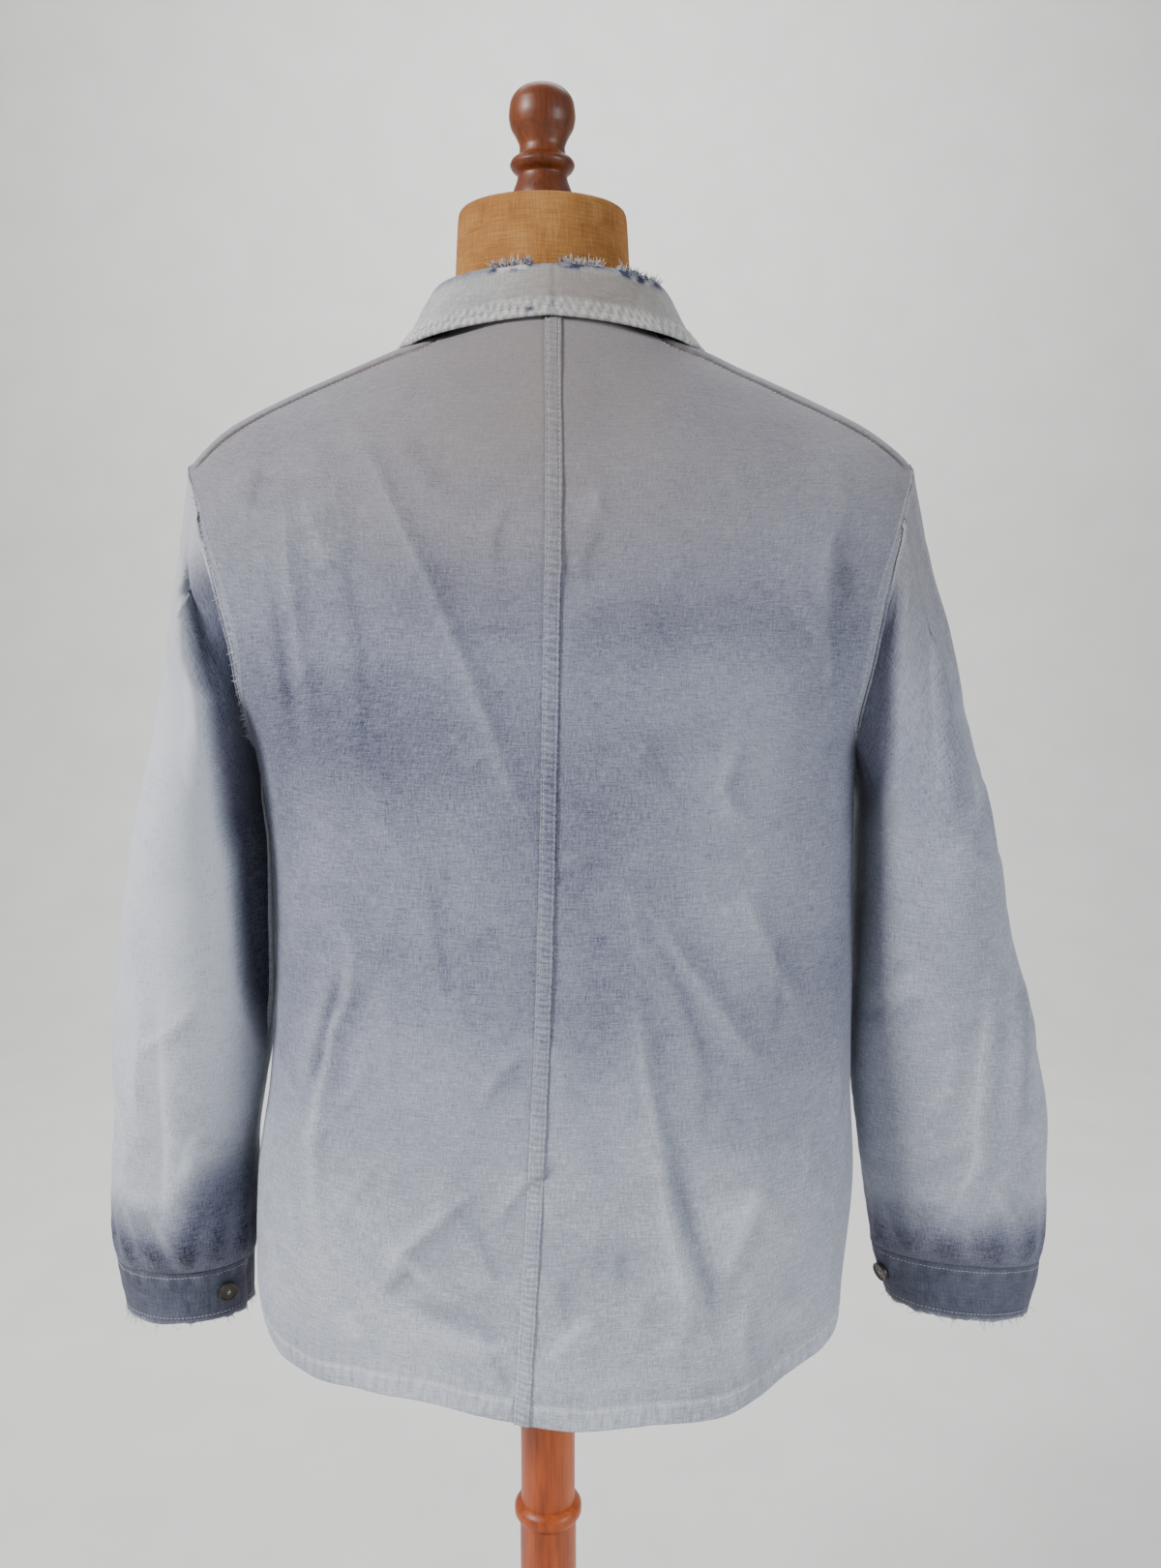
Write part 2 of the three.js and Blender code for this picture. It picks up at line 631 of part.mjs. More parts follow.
// Collar: one wall that stands up from the neckline, turns over and falls.
// around: 0 at the centre back, 1 at the centre front. stand and lean: the fold's height above the
// neckline and how far out it lies. reach and fall: how far the falling edge lies out and below it.
const COLLAR_THICK = 2;
const COLLAR_FOLD = 2.2;
const COLLAR_CLEAR = 2.4;
const collar = table("around stand lean reach fall", [
  [0, 27, 0, 17, 34],
  [0.25, 27, 0, 20, 33],
  [0.45, 27, -2, 24, 36],
  [0.65, 27, 2, 32, 48],
  [0.85, 18, 6, 38, 62],
  [1, 9, 6, 34, 58],
]);
const COLLAR_END = 4;

// The neckline's points from the right centre front, round the back, to the left centre front.
// The two collar ends stop COLLAR_END short of the closing line.
function neckline() {
  const edge = (face, hand) => panelGrid(face, hand)[TOP_ROW];
  const ahead = (hand) => edge("front", hand).filter((p) => hand * (p.x - FRONT_X) > COLLAR_END);
  const backRight = edge("back", 1).slice(0, -1).reverse();
  const backLeft = edge("back", -1).slice(1, -1);
  return [...ahead(1), ...backRight, ...backLeft, ...ahead(-1).reverse()];
}

// The highest level at which the body surface reaches over a place.
function surfaceLevel(x, y) {
  let [low, high] = [ARMPIT, NECK_BACK];
  for (let step = 0; step < 20; step += 1) {
    const level = (low + high) / 2;
    const across = acrossAt(x, level);
    const face = y < body.side(level) ? "back" : "front";
    const inside = Math.abs(across) < 1 && Math.abs(y) < Math.abs(bodyPoint(face, across, level).y);
    if (inside) low = level;
    else high = level;
  }
  return low;
}

// Keeps a point of the collar's fall outside the panels: above the shoulders, and off the back
// and the fronts.
function clearOfBody(p) {
  const clear = COLLAR_CLEAR + COLLAR_THICK / 2;
  const z = Math.max(p.z, surfaceLevel(p.x, p.y) + clear);
  const level = Math.min(z, NECK_BACK);
  const across = acrossAt(p.x, level);
  if (Math.abs(across) >= 1) return vec(p.x, p.y, z);
  const face = p.y < body.side(level) ? "back" : "front";
  const sign = face === "back" ? -1 : 1;
  const bound = bodyPoint(face, across, level).y + sign * clear;
  return vec(p.x, sign * Math.max(sign * p.y, sign * bound), z);
}

function collarWall() {
  const line = neckline();
  const length = [0];
  for (let i = 1; i < line.length; i += 1) length.push(length[i - 1] + line[i].distanceTo(line[i - 1]));
  const total = length[length.length - 1];
  const outer = [];
  const inner = [];
  line.forEach((base, i) => {
    const around = Math.abs((2 * length[i]) / total - 1);
    const out = vec(base.x - BODY_CENTRE + 2, base.y - 4, 0).normalize();
    const at = (outwards, up) => vec(base.x, base.y, base.z + up).addScaledVector(out, outwards);
    const stand = collar.stand(around);
    const lean = collar.lean(around);
    const reach = collar.reach(around);
    const fall = collar.fall(around);
    const middle = [
      at(0, 0.4),
      at(lean * 0.5, stand * 0.5),
      at(lean, stand - COLLAR_FOLD),
      at(lean + COLLAR_FOLD, stand),
      at(lean + 2 * COLLAR_FOLD, stand - COLLAR_FOLD),
      clearOfBody(at(lean + 4 + reach * 0.33, stand - fall * 0.36)),
      clearOfBody(at(lean + 4 + reach * 0.68, stand - fall * 0.7)),
      clearOfBody(at(lean + 4 + reach, stand - fall)),
    ];
    const sides = middle.map((p, k) => {
      const ahead = middle[Math.min(k + 1, middle.length - 1)];
      const behind = middle[Math.max(k - 1, 0)];
      const run = ahead.clone().sub(behind);
      const flat = run.dot(out);
      // Across the wall, in the upright plane through out
      return out.clone().multiplyScalar(-run.z).add(vec(0, 0, flat)).normalize();
    });
    outer.push(middle.map((p, k) => moved(p, sides[k], COLLAR_THICK / 2)));
    inner.push(middle.map((p, k) => moved(p, sides[k], -COLLAR_THICK / 2)));
  });
  return wallOf(outer, inner);
}
add("collar", collarWall(), COTTON_WORN);

// Buttons: a lathed disc with a raised rim, laid on a point along its normal.
const TURN_SIDES = 12;
function turned(profile, sides = TURN_SIDES) {
  const points = profile.map(([radius, height]) => new THREE.Vector2(radius, height));
  const lathe = new THREE.LatheGeometry(points, sides);
  return lathe.rotateX(Math.PI / 2);
}
function buttonProfile(radius, thick) {
  return [
    [0, 0],
    [radius * 0.8, 0],
    [radius, thick * 0.4],
    [radius, thick * 0.75],
    [radius * 0.88, thick],
    [radius * 0.66, thick * 0.7],
    [0, thick * 0.7],
  ];
}
function addButton(name, point, normal, { radius, thick, seat }) {
  const mesh = add(name, turned(buttonProfile(radius, thick)), HORN, 0.5);
  mesh.quaternion.setFromUnitVectors(vec(0, 0, 1), normal);
  mesh.position.copy(moved(point, normal, seat));
}

const FRONT_BUTTONS = [1378, 1244, 1108, 972, 836];
const FRONT_BUTTON = { radius: 9, thick: 3.2, seat: 0.5 };
const CUFF_BUTTON = { radius: 7.5, thick: 3, seat: 0.5 };
const CUFF_BUTTON_COLUMN = 2;
FRONT_BUTTONS.forEach((level, k) => {
  const panel = panels.front_left;
  const row = panel.outer.findIndex((line) => line[1].z > level);
  const [low, high] = [panel.outer[row - 1], panel.outer[row]];
  const line = low.map((p, i) => p.clone().lerp(high[i], (level - low[1].z) / (high[1].z - low[1].z)));
  const column = line.findIndex((p) => p.x < FRONT_X);
  const share = (line[column - 1].x - FRONT_X) / (line[column - 1].x - line[column].x);
  const point = line[column - 1].clone().lerp(line[column], share);
  const normal = panel.normals[row][column].clone().setX(0).normalize();
  addButton(`button_${k + 1}`, point, normal, FRONT_BUTTON);
});
for (const [side, hand] of [["left", -1], ["right", 1]]) {
  const [low, line, high] = cuffs[side].outer;
  const along = line[CUFF_BUTTON_COLUMN + 1].clone().sub(line[CUFF_BUTTON_COLUMN - 1]);
  const up = high[CUFF_BUTTON_COLUMN].clone().sub(low[CUFF_BUTTON_COLUMN]);
  const normal = along.cross(up).normalize().multiplyScalar(hand);
  addButton(`cuff_button_${side}`, line[CUFF_BUTTON_COLUMN], normal, CUFF_BUTTON);
}

// The form's linen body and neck, its turned finial, pole and base
const FORM_SIDES = 24;
const FORM_BOTTOM = 800;
const FORM_DROP = 4;
const NECK_RADIUS = 58.8;
const NECK_EDGE = 1532;
const NECK_TOP = 1539;
const NECK_ROUND = 6;
// Its shoulders follow the jacket's shoulder line, a little below it.
const shoulderHalf = (level) => -body.left(level + FORM_DROP);
const form = table("level half back front side square round", [
  [FORM_BOTTOM, 152, -98, 104, 2, 2.2, 0.45],
  [860, 158, -104, 104, 2, 2.2, 0.45],
  [930, 146, -98, 100, 1, 2.2, 0.45],
  [1010, 138, -94, 98, 0, 2.2, 0.45],
  [1100, 152, -102, 108, 0, 2.2, 0.45],
  [1190, 168, -108, 114, -3, 2.2, 0.45],
  [1270, 176, -108, 108, -7, 2.1, 0.47],
  [1340, 185, -98, 84, -11, 1.9, 0.5],
  [1375, 187, -86, 62, -12, 1.8, 0.52],
  [1394, 184, -78, 50, -12, 1.7, 0.56],
  [1406, shoulderHalf(1406), -73, 44, -12, 1.7, 0.6],
  [1418, shoulderHalf(1418), -69, 41, -12, 1.7, 0.6],
  [1430, shoulderHalf(1430), -65, 39, -12, 1.7, 0.6],
  [1440, shoulderHalf(1440), -62, 38, -11, 1.7, 0.58],
  [1449, 68, -62, 54, -6, 2, 0.5],
  [1464, 62.5, -62, 61, 0, 2, 0.5],
  [1492, 61, -61, 61, 0, 2, 0.5],
  [NECK_EDGE, NECK_RADIUS, -NECK_RADIUS, NECK_RADIUS, 0, 2, 0.5],
]);
const FORM_BELOW = [FORM_BOTTOM, 830, 880, 940, 1010, 1080, 1150, 1220, 1290, 1340, 1372];
const FORM_ABOVE = [1394, 1406, 1418, 1430, 1440, 1449, 1464, 1495, NECK_EDGE];
function formTorso() {
  const rows = [...FORM_BELOW, ...FORM_ABOVE].map((z) => {
    const line = [];
    for (let i = 0; i < FORM_SIDES; i += 1) {
      const angle = (2 * Math.PI * i) / FORM_SIDES;
      const across = Math.cos(angle);
      const fullness = Math.max(1 - Math.abs(across) ** form.square(z), 0) ** form.round(z);
      const depth = (Math.sin(angle) < 0 ? form.back(z) : form.front(z)) - form.side(z);
      line.push(vec(across * form.half(z), form.side(z) + depth * fullness, z));
    }
    return line;
  });
  const rim = rows[rows.length - 1];
  for (const turn of [Math.PI / 5, Math.PI / 2]) {
    const shrink = 1 - (NECK_ROUND * (1 - Math.cos(turn))) / NECK_RADIUS;
    rows.push(rim.map((p) => vec(p.x * shrink, p.y * shrink, mix(NECK_EDGE, NECK_TOP, Math.sin(turn)))));
  }
  const points = rows.flat();
  const quads = [];
  for (let j = 0; j + 1 < rows.length; j += 1) {
    for (let i = 0; i < FORM_SIDES; i += 1) {
      const next = (i + 1) % FORM_SIDES;
      const [low, high] = [j * FORM_SIDES, (j + 1) * FORM_SIDES];
      quads.push([low + i, low + next, high + next, high + i]);
    }
  }
  const bottom = points.push(vec(0, 0, FORM_BOTTOM)) - 1;
  const top = points.push(vec(0, 0, NECK_TOP)) - 1;
  const last = (rows.length - 1) * FORM_SIDES;
  for (let i = 0; i < FORM_SIDES; i += 1) {
    const next = (i + 1) % FORM_SIDES;
    quads.push([bottom, next, i]);
    quads.push([top, last + i, last + next]);
  }
  return geometryOf(points, quads);
}
add("form_torso", formTorso(), LINEN, 0.95);

// A turned piece of wood from its profile of radius and level, between two flat ends.
const WOOD_SIDES = 20;
function addTurned(name, profile) {
  const closed = [[0, profile[0][1]], ...profile, [0, profile[profile.length - 1][1]]];
  add(name, turned(closed, WOOD_SIDES), WOOD, 0.45);
}
const BASE_THICK = 32;
const POLE_RADIUS = 21.5;
const BEAD_RADIUS = 26.8;
addTurned("finial", [
  [22.5, NECK_TOP + SEAM_GAP],
  [21, 1548],
  [17, 1561],
  [20.5, 1564.5],
  [22.2, 1568],
  [20.5, 1571.5],
  [16.2, 1574.5],
  [15.5, 1579],
  [18, 1586],
  [21.6, 1592.5],
  [22.7, 1599],
  [21.8, 1607],
  [18, 1614],
  [11, 1618.3],
  [4, 1619.5],
]);
addTurned("pole", [
  [POLE_RADIUS + 1, BASE_THICK + SEAM_GAP],
  [POLE_RADIUS + 1, 546],
  [BEAD_RADIUS - 2, 547.5],
  [BEAD_RADIUS, 551],
  [BEAD_RADIUS, 556],
  [BEAD_RADIUS - 2, 559.5],
  [POLE_RADIUS, 561.5],
  [POLE_RADIUS, FORM_BOTTOM - SEAM_GAP],
]);
addTurned("base", [
  [176, 0],
  [180, 4],
  [180, 14],
  [172, 20],
  [120, 24],
  [48, 28],
  [40, BASE_THICK],
]);

export default jacket;
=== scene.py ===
# %% [markdown]
# # A chore jacket on a dress form, seen from the back
#
# The jacket hangs buttoned on a limbless linen form with a turned wooden finial, pole and
# base. Every piece of cloth is a thin shell of its own, cut and sewn as the real one is: two
# back halves with a felled seam between them, two fronts that lap, a turned collar, and two
# sleeves with buttoned cuffs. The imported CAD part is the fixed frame. It says where each piece
# goes, and the finer pieces below lie over it in the same coordinates, in metres.
# %% Load the frame
import math

import bmesh
import bpy
import numpy as np
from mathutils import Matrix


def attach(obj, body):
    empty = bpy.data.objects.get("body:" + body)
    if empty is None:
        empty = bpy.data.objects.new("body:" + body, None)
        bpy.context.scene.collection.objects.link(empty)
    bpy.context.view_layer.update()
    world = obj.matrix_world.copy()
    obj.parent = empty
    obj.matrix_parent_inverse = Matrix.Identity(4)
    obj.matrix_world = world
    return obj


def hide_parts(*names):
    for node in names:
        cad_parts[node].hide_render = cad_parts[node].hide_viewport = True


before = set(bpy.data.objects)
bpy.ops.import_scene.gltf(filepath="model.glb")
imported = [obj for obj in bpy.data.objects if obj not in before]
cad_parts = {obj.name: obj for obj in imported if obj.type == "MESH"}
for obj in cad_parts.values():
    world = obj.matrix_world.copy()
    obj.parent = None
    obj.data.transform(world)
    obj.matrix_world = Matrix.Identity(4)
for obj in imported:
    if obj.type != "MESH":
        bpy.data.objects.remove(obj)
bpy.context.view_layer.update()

# %% [markdown]
# ## The camera
#
# The photograph was taken from in front of the jacket's back, about chest high, with a wide
# lens that looks down a little. Its place was solved from three circles that show as ellipses:
# the neck's rim, the finial's ring and the pole's bead.
# %% Camera
CAMERA_PLACE = (0.026, -0.940, 1.290)
CAMERA_DOWN = 9
bpy.ops.object.select_all(action="DESELECT")
bpy.ops.object.camera_add(location=CAMERA_PLACE, rotation=(math.radians(90 - CAMERA_DOWN), 0, 0))
camera = bpy.context.object
camera.data.lens = 29.78
camera.data.sensor_width = 36
camera.data.clip_start = 0.02
bpy.context.scene.camera = camera
print("camera at", CAMERA_PLACE)

# %% [markdown]
# ## Shader expressions
#
# A finish is easier to read as arithmetic than as a web of nodes. One small class stands for a
# socket, and adding or multiplying it lays down the Math node. Another class is the material
# itself, with one method for every other kind of node.
# %% A socket that does arithmetic
class Wire:
    """One output of a node. Sums and products of wires lay down Math nodes."""

    def __init__(self, finish, socket):
        self.finish, self.socket = finish, socket

    def maths(self, operation, *values):
        return self.finish.node("ShaderNodeMath", {"operation": operation}, dict(enumerate(values)))

    def __add__(self, other):
        return self.maths("ADD", self, other)

    def __sub__(self, other):
        return self.maths("SUBTRACT", self, other)

    def __rsub__(self, other):
        return self.maths("SUBTRACT", other, self)

    def __mul__(self, other):
        return self.maths("MULTIPLY", self, other)

    def __truediv__(self, other):
        return self.maths("DIVIDE", self, other)

    def __pow__(self, other):
        return self.maths("POWER", self, other)

    def __abs__(self):
        return self.maths("ABSOLUTE", self)

    __radd__, __rmul__ = __add__, __mul__

    def within(self, low=0.0, high=1.0):
        return self.maths("MINIMUM", self.maths("MAXIMUM", self, low), high)

    def sine(self):
        return self.maths("SINE", self)


class Finish:
    """A material whose colour, roughness and relief are given as expressions."""

    def __init__(self, name, **fixed):
        self.material = bpy.data.materials.new(name)
        self.material.use_nodes = True
        self.tree = self.material.node_tree
        self.shader = self.tree.nodes["Principled BSDF"]
        for socket, value in fixed.items():
            self.shader.inputs[socket.replace("_", " ")].default_value = value

    def feed(self, socket, value):
        if isinstance(value, Wire):
            self.tree.links.new(value.socket, socket)
        else:
            socket.default_value = value

    def node(self, kind, settings=None, inputs=None, output=0):
        made = self.tree.nodes.new(kind)
        for key, value in (settings or {}).items():
            if key == "stops":
                while len(made.color_ramp.elements) < len(value):
                    made.color_ramp.elements.new(0.5)
                for stop, (place, colour) in zip(made.color_ramp.elements, value):
                    stop.position, stop.color = place, colour
            else:
                setattr(made, key, value)
        for key, value in (inputs or {}).items():
            self.feed(made.inputs[key], value)
        return Wire(self, made.outputs[output])

    def attribute(self, name):
        return self.node("ShaderNodeAttribute", {"attribute_name": name}, output="Fac")

    def object_place(self):
        return self.node("ShaderNodeTexCoord", output="Object")

    def stretched(self, place, scale, turn=0.0):
        settings = {"Vector": place, "Scale": scale, "Rotation": (0, 0, turn)}
        return self.node("ShaderNodeMapping", {}, settings)

    def noise(self, place, scale=1.0, detail=2.0, rough=0.5):
        settings = {"Vector": place, "Scale": scale, "Detail": detail, "Roughness": rough}
        return self.node("ShaderNodeTexNoise", {}, settings)

    def blend(self, share, first, second, how="MIX"):
        settings = {"data_type": "RGBA", "blend_type": how}
        return self.node("ShaderNodeMix", settings, {0: share, 6: first, 7: second}, output=2)

    def ramp(self, value, stops):
        return self.node("ShaderNodeValToRGB", {"stops": stops}, {"Fac": value})

    def relief(self, height, distance, strength=1.0):
        settings = {"Height": height, "Distance": distance, "Strength": strength}
        bump = self.node("ShaderNodeBump", {}, settings)
        self.feed(self.shader.inputs["Normal"], bump)


def paint(red, green, blue):
    """A colour given as 0 to 255 on a screen, in the shader's own linear numbers."""
    linear = [((c / 255 + 0.055) / 1.055) ** 2.4 for c in (red, green, blue)]
    return (*linear, 1.0)


print("shader expressions ready")

# %% [markdown]
# ## Floor, backdrop and light
#
# The jacket stands in a plain pale studio. The floor is one plane whose far edge is pulled up
# into a wall, with the corner rounded so that no line shows behind the jacket. A large soft
# lamp on the left shapes the folds, a weaker one fills the right side, and one from above
# behind lifts the shoulders off the wall.
# %% Floor and backdrop
def deselect():
    bpy.ops.object.select_all(action="DESELECT")


def select_edges(piece, chosen):
    """In edit mode, selects the edges for which chosen(middle point) is true."""
    bpy.ops.mesh.select_mode(type="EDGE")
    bpy.ops.mesh.select_all(action="DESELECT")
    shape = bmesh.from_edit_mesh(piece.data)
    for edge in shape.edges:
        edge.select_set(chosen((edge.verts[0].co + edge.verts[1].co) / 2))
    bmesh.update_edit_mesh(piece.data)


ROOM = 4.0
deselect()
bpy.ops.mesh.primitive_plane_add(size=2 * ROOM, location=(0, 0, 0))
floor = bpy.context.object
floor.name = "floor"
bpy.ops.object.mode_set(mode="EDIT")
select_edges(floor, lambda middle: middle.y > ROOM - 0.1)
bpy.ops.mesh.extrude_region_move(TRANSFORM_OT_translate={"value": (0, 0, 4)})
select_edges(floor, lambda middle: middle.y > ROOM - 0.1 and middle.z < 0.1 and abs(middle.x) < 0.1)
bpy.ops.mesh.bevel(offset=1.5, segments=16)
bpy.ops.object.mode_set(mode="OBJECT")
bpy.ops.object.shade_smooth()

studio = Finish("studio_paper", Roughness=0.9)
speckle = studio.noise(studio.object_place(), 6.0, 3.0)
studio.feed(studio.shader.inputs["Base Color"], studio.ramp(speckle, [
    (0.3, paint(214, 214, 212)), (0.7, paint(220, 220, 218))]))
floor.data.materials.append(studio.material)
print("floor and backdrop", len(floor.data.polygons), "faces")


# %% Light
def soft_lamp(name, place, aim, size, power, tint=(1, 1, 1)):
    deselect()
    bpy.ops.object.light_add(type="AREA", location=place)
    lamp = bpy.context.object
    lamp.name = name
    lamp.data.shape = "DISK"
    lamp.data.size, lamp.data.energy, lamp.data.color = size, power, tint
    away = lamp.location - type(lamp.location)(aim)
    lamp.rotation_euler = away.to_track_quat("Z", "Y").to_euler()
    lamp.visible_camera = False
    return lamp


soft_lamp("key", (-2.4, -1.5, 2.7), (0, 0, 1.1), 0.9, 116, (1.0, 0.98, 0.96))
soft_lamp("fill", (2.5, -1.7, 1.5), (0, 0, 1.0), 1.4, 42, (0.96, 0.98, 1.0))
soft_lamp("top", (0.2, 0.9, 3.0), (0, 0, 1.2), 1.6, 7)
soft_lamp("wash", (0.0, 1.2, 3.4), (0, 4.0, 1.2), 2.6, 150)
world = bpy.data.worlds.new("studio") if bpy.context.scene.world is None else bpy.context.scene.world
bpy.context.scene.world = world
world.use_nodes = True
world.node_tree.nodes["Background"].inputs["Color"].default_value = (0.86, 0.88, 0.9, 1)
world.node_tree.nodes["Background"].inputs["Strength"].default_value = 0.3
print("four lamps and a pale sky")

# %% [markdown]
# ## Smooth measures
#
# A cutter writes a garment down as a few measures: how wide it is at each level, how deep, how
# high the hem hangs. Each short table below becomes a set of smooth curves. All tables are in
# millimetres, and a mesh becomes metres when it is made.
# %% Curves and tables
MM = 0.001


def smooth(at, value):
    """A curve through points, flat where it turns, so that it never swings past them."""
    at, value = np.asarray(at, float), np.asarray(value, float)
    width = np.diff(at)
    chord = np.diff(value) / width
    product, total = chord[:-1] * chord[1:], chord[:-1] + chord[1:]
    bends = np.where(product > 0, 2 * product / np.where(total == 0, 1, total), 0)
    slope = np.concatenate([chord[:1], bends, chord[-1:]])

    def curve(wanted):
        t = np.clip(wanted, at[0], at[-1])
        i = np.clip(np.searchsorted(at, t, side="right") - 1, 0, len(width) - 1)
        s = (t - at[i]) / width[i]
        leave, arrive = s * (1 - s) ** 2 * width[i], s**2 * (s - 1) * width[i]
        rise = (value[i + 1] - value[i]) * s * s * (3 - 2 * s)
        return value[i] + rise + slope[i] * leave + slope[i + 1] * arrive

    return curve


def table(names, rows):
    """Named smooth curves over the first column of a table."""
    columns = np.array(rows, float).T
    return {name: smooth(columns[0], c) for name, c in zip(names.split()[1:], columns[1:])}


def mix(a, b, t):
    return a + (b - a) * t


def ease(t):
    s = np.clip(t, 0, 1)
    return s * s * (3 - 2 * s)


def unit(vectors):
    return vectors / np.maximum(np.linalg.norm(vectors, axis=-1, keepdims=True), 1e-9)


def lengths(points):
    """Distance along each row of points, from 0."""
    steps = np.linalg.norm(np.diff(points, axis=-2), axis=-1)
    return np.concatenate([np.zeros((*steps.shape[:-1], 1)), np.cumsum(steps, axis=-1)], axis=-1)


def evenly(points, count):
    """Each row of points again, as count points at even distances."""
    made = np.empty((len(points), count, 3))
    for line, run, row in zip(points, lengths(points), made):
        wanted = np.linspace(0, run[-1], count)
        for axis in range(3):
            row[:, axis] = np.interp(wanted, run, line[:, axis])
    return made


HEM_CENTRE, HEM_SIDE, HEM_LIFT_TOP = 715, 722, 850
ARMPIT, TIP = 1166, 1367
NECK_SIDE, NECK_BACK, NECK_FRONT = 1450, 1460, 1395
BODY_CENTRE = 8
body = table("level left right back front side square round", [
    [712, -214, 224, -138, 134, 0, 2.05, 0.49],
    [767, -223, 228, -138, 135, 0, 2.05, 0.49],
    [847, -219, 233, -136, 133, 0, 2.15, 0.47],
    [925, -206, 228, -132, 130, 0, 2.3, 0.44],
    [1001, -199, 227, -129, 128, 0, 2.3, 0.44],
    [1076, -197, 225, -127, 129, 0, 2.3, 0.44],
    [1166, -207, 224, -126, 130, 0, 2.3, 0.44],
    [1191, -214, 231, -126, 129, -1, 2.3, 0.44],
    [1233, -238, 254, -125, 126, -3, 2.25, 0.45],
    [1275, -261, 273, -123, 121, -6, 2.2, 0.46],
    [1316, -271, 279, -119, 113, -9, 2.1, 0.48],
    [1345, -265, 272, -114, 104, -11, 1.95, 0.5],
    [1367, -244, 255, -110, 95, -12, 1.8, 0.53],
    [1389, -221, 228, -105, 85, -12, 1.6, 0.56],
    [1409, -183, 188, -99, 74, -12, 1.55, 0.57],
    [1429, -135, 141, -92, 60, -12, 1.6, 0.56],
    [1441, -104, 113, -87, 49, -11, 1.8, 0.53],
    [1450, -75, 86, -80, 40, -10, 2.0, 0.5],
    [1460, -70, 80, -72, 34, -8, 2.0, 0.5],
])
seam_line = table("level x", [
    [712, -14], [765, -11], [906, -3], [1040, 3], [1229, 7.5], [1347, 9.5], [1460, 8.5]])
hem_line = table("x lift", [
    [-224, 8], [-167, 9], [-129, 16], [-80, 17], [-32, 10], [30, 1],
    [69, 2], [120, -2], [150, 3], [182, 13], [224, 12]])
armhole = table("level left right", [
    [1166, -207, 224], [1191, -206, 216], [1233, -206, 221], [1275, -212, 227],
    [1316, -222, 237], [1345, -230, 245], [1367, -244, 255]])


def body_point(face, across, level):
    """A point of the jacket's body: across runs from -1 at the left side to 1 at the right."""
    left, right = BODY_CENTRE - body["left"](level), body["right"](level) - BODY_CENTRE
    depth = body[face](level) - body["side"](level)
    full = np.maximum(1 - np.abs(across) ** body["square"](level), 0) ** body["round"](level)
    x = BODY_CENTRE + across * np.where(across < 0, left, right)
    return np.stack([x, body["side"](level) + depth * full, level + 0 * across], axis=-1)


def across_at(x, level):
    left, right = BODY_CENTRE - body["left"](level), body["right"](level) - BODY_CENTRE
    return (x - BODY_CENTRE) / np.where(x < BODY_CENTRE, left, right)


print("body is", body["right"](1166.0) - body["left"](1166.0), "mm wide at the armpit")

# %% [markdown]
# ## From a grid of points to a piece of cloth
#
# Cloth is thin but not paper thin, and an edge that shows its thickness is what makes it look
# like cloth. So every piece is a closed shell: an outer grid, the same grid moved inwards, and a
# rounded rim between them. The shell also keeps a map of the distance along the cloth, for the
# weave, and a few painted values, such as where it is faded and where light and shade are painted.
# %% Shell helpers
def normals_of(grid, sign=1, wraps=False):
    """Unit normals from the points beside each one."""
    if wraps:
        across = np.roll(grid, -1, axis=1) - np.roll(grid, 1, axis=1)
    else:
        across = np.gradient(grid, axis=1)
    return unit(np.cross(across, np.gradient(grid, axis=0))) * sign


def cloth_map(grid, wraps=False):
    """Distance across and up the cloth at each point, in millimetres."""
    closed = np.concatenate([grid, grid[:, :1]], axis=1) if wraps else grid
    across = lengths(closed)
    across = across * np.median(across[:, -1]) / np.maximum(across[:, -1:], 1e-6)
    up = lengths(np.swapaxes(closed, 0, 1)).T
    return np.stack([across, np.median(up, axis=1)[:, None] + 0 * up], axis=-1)


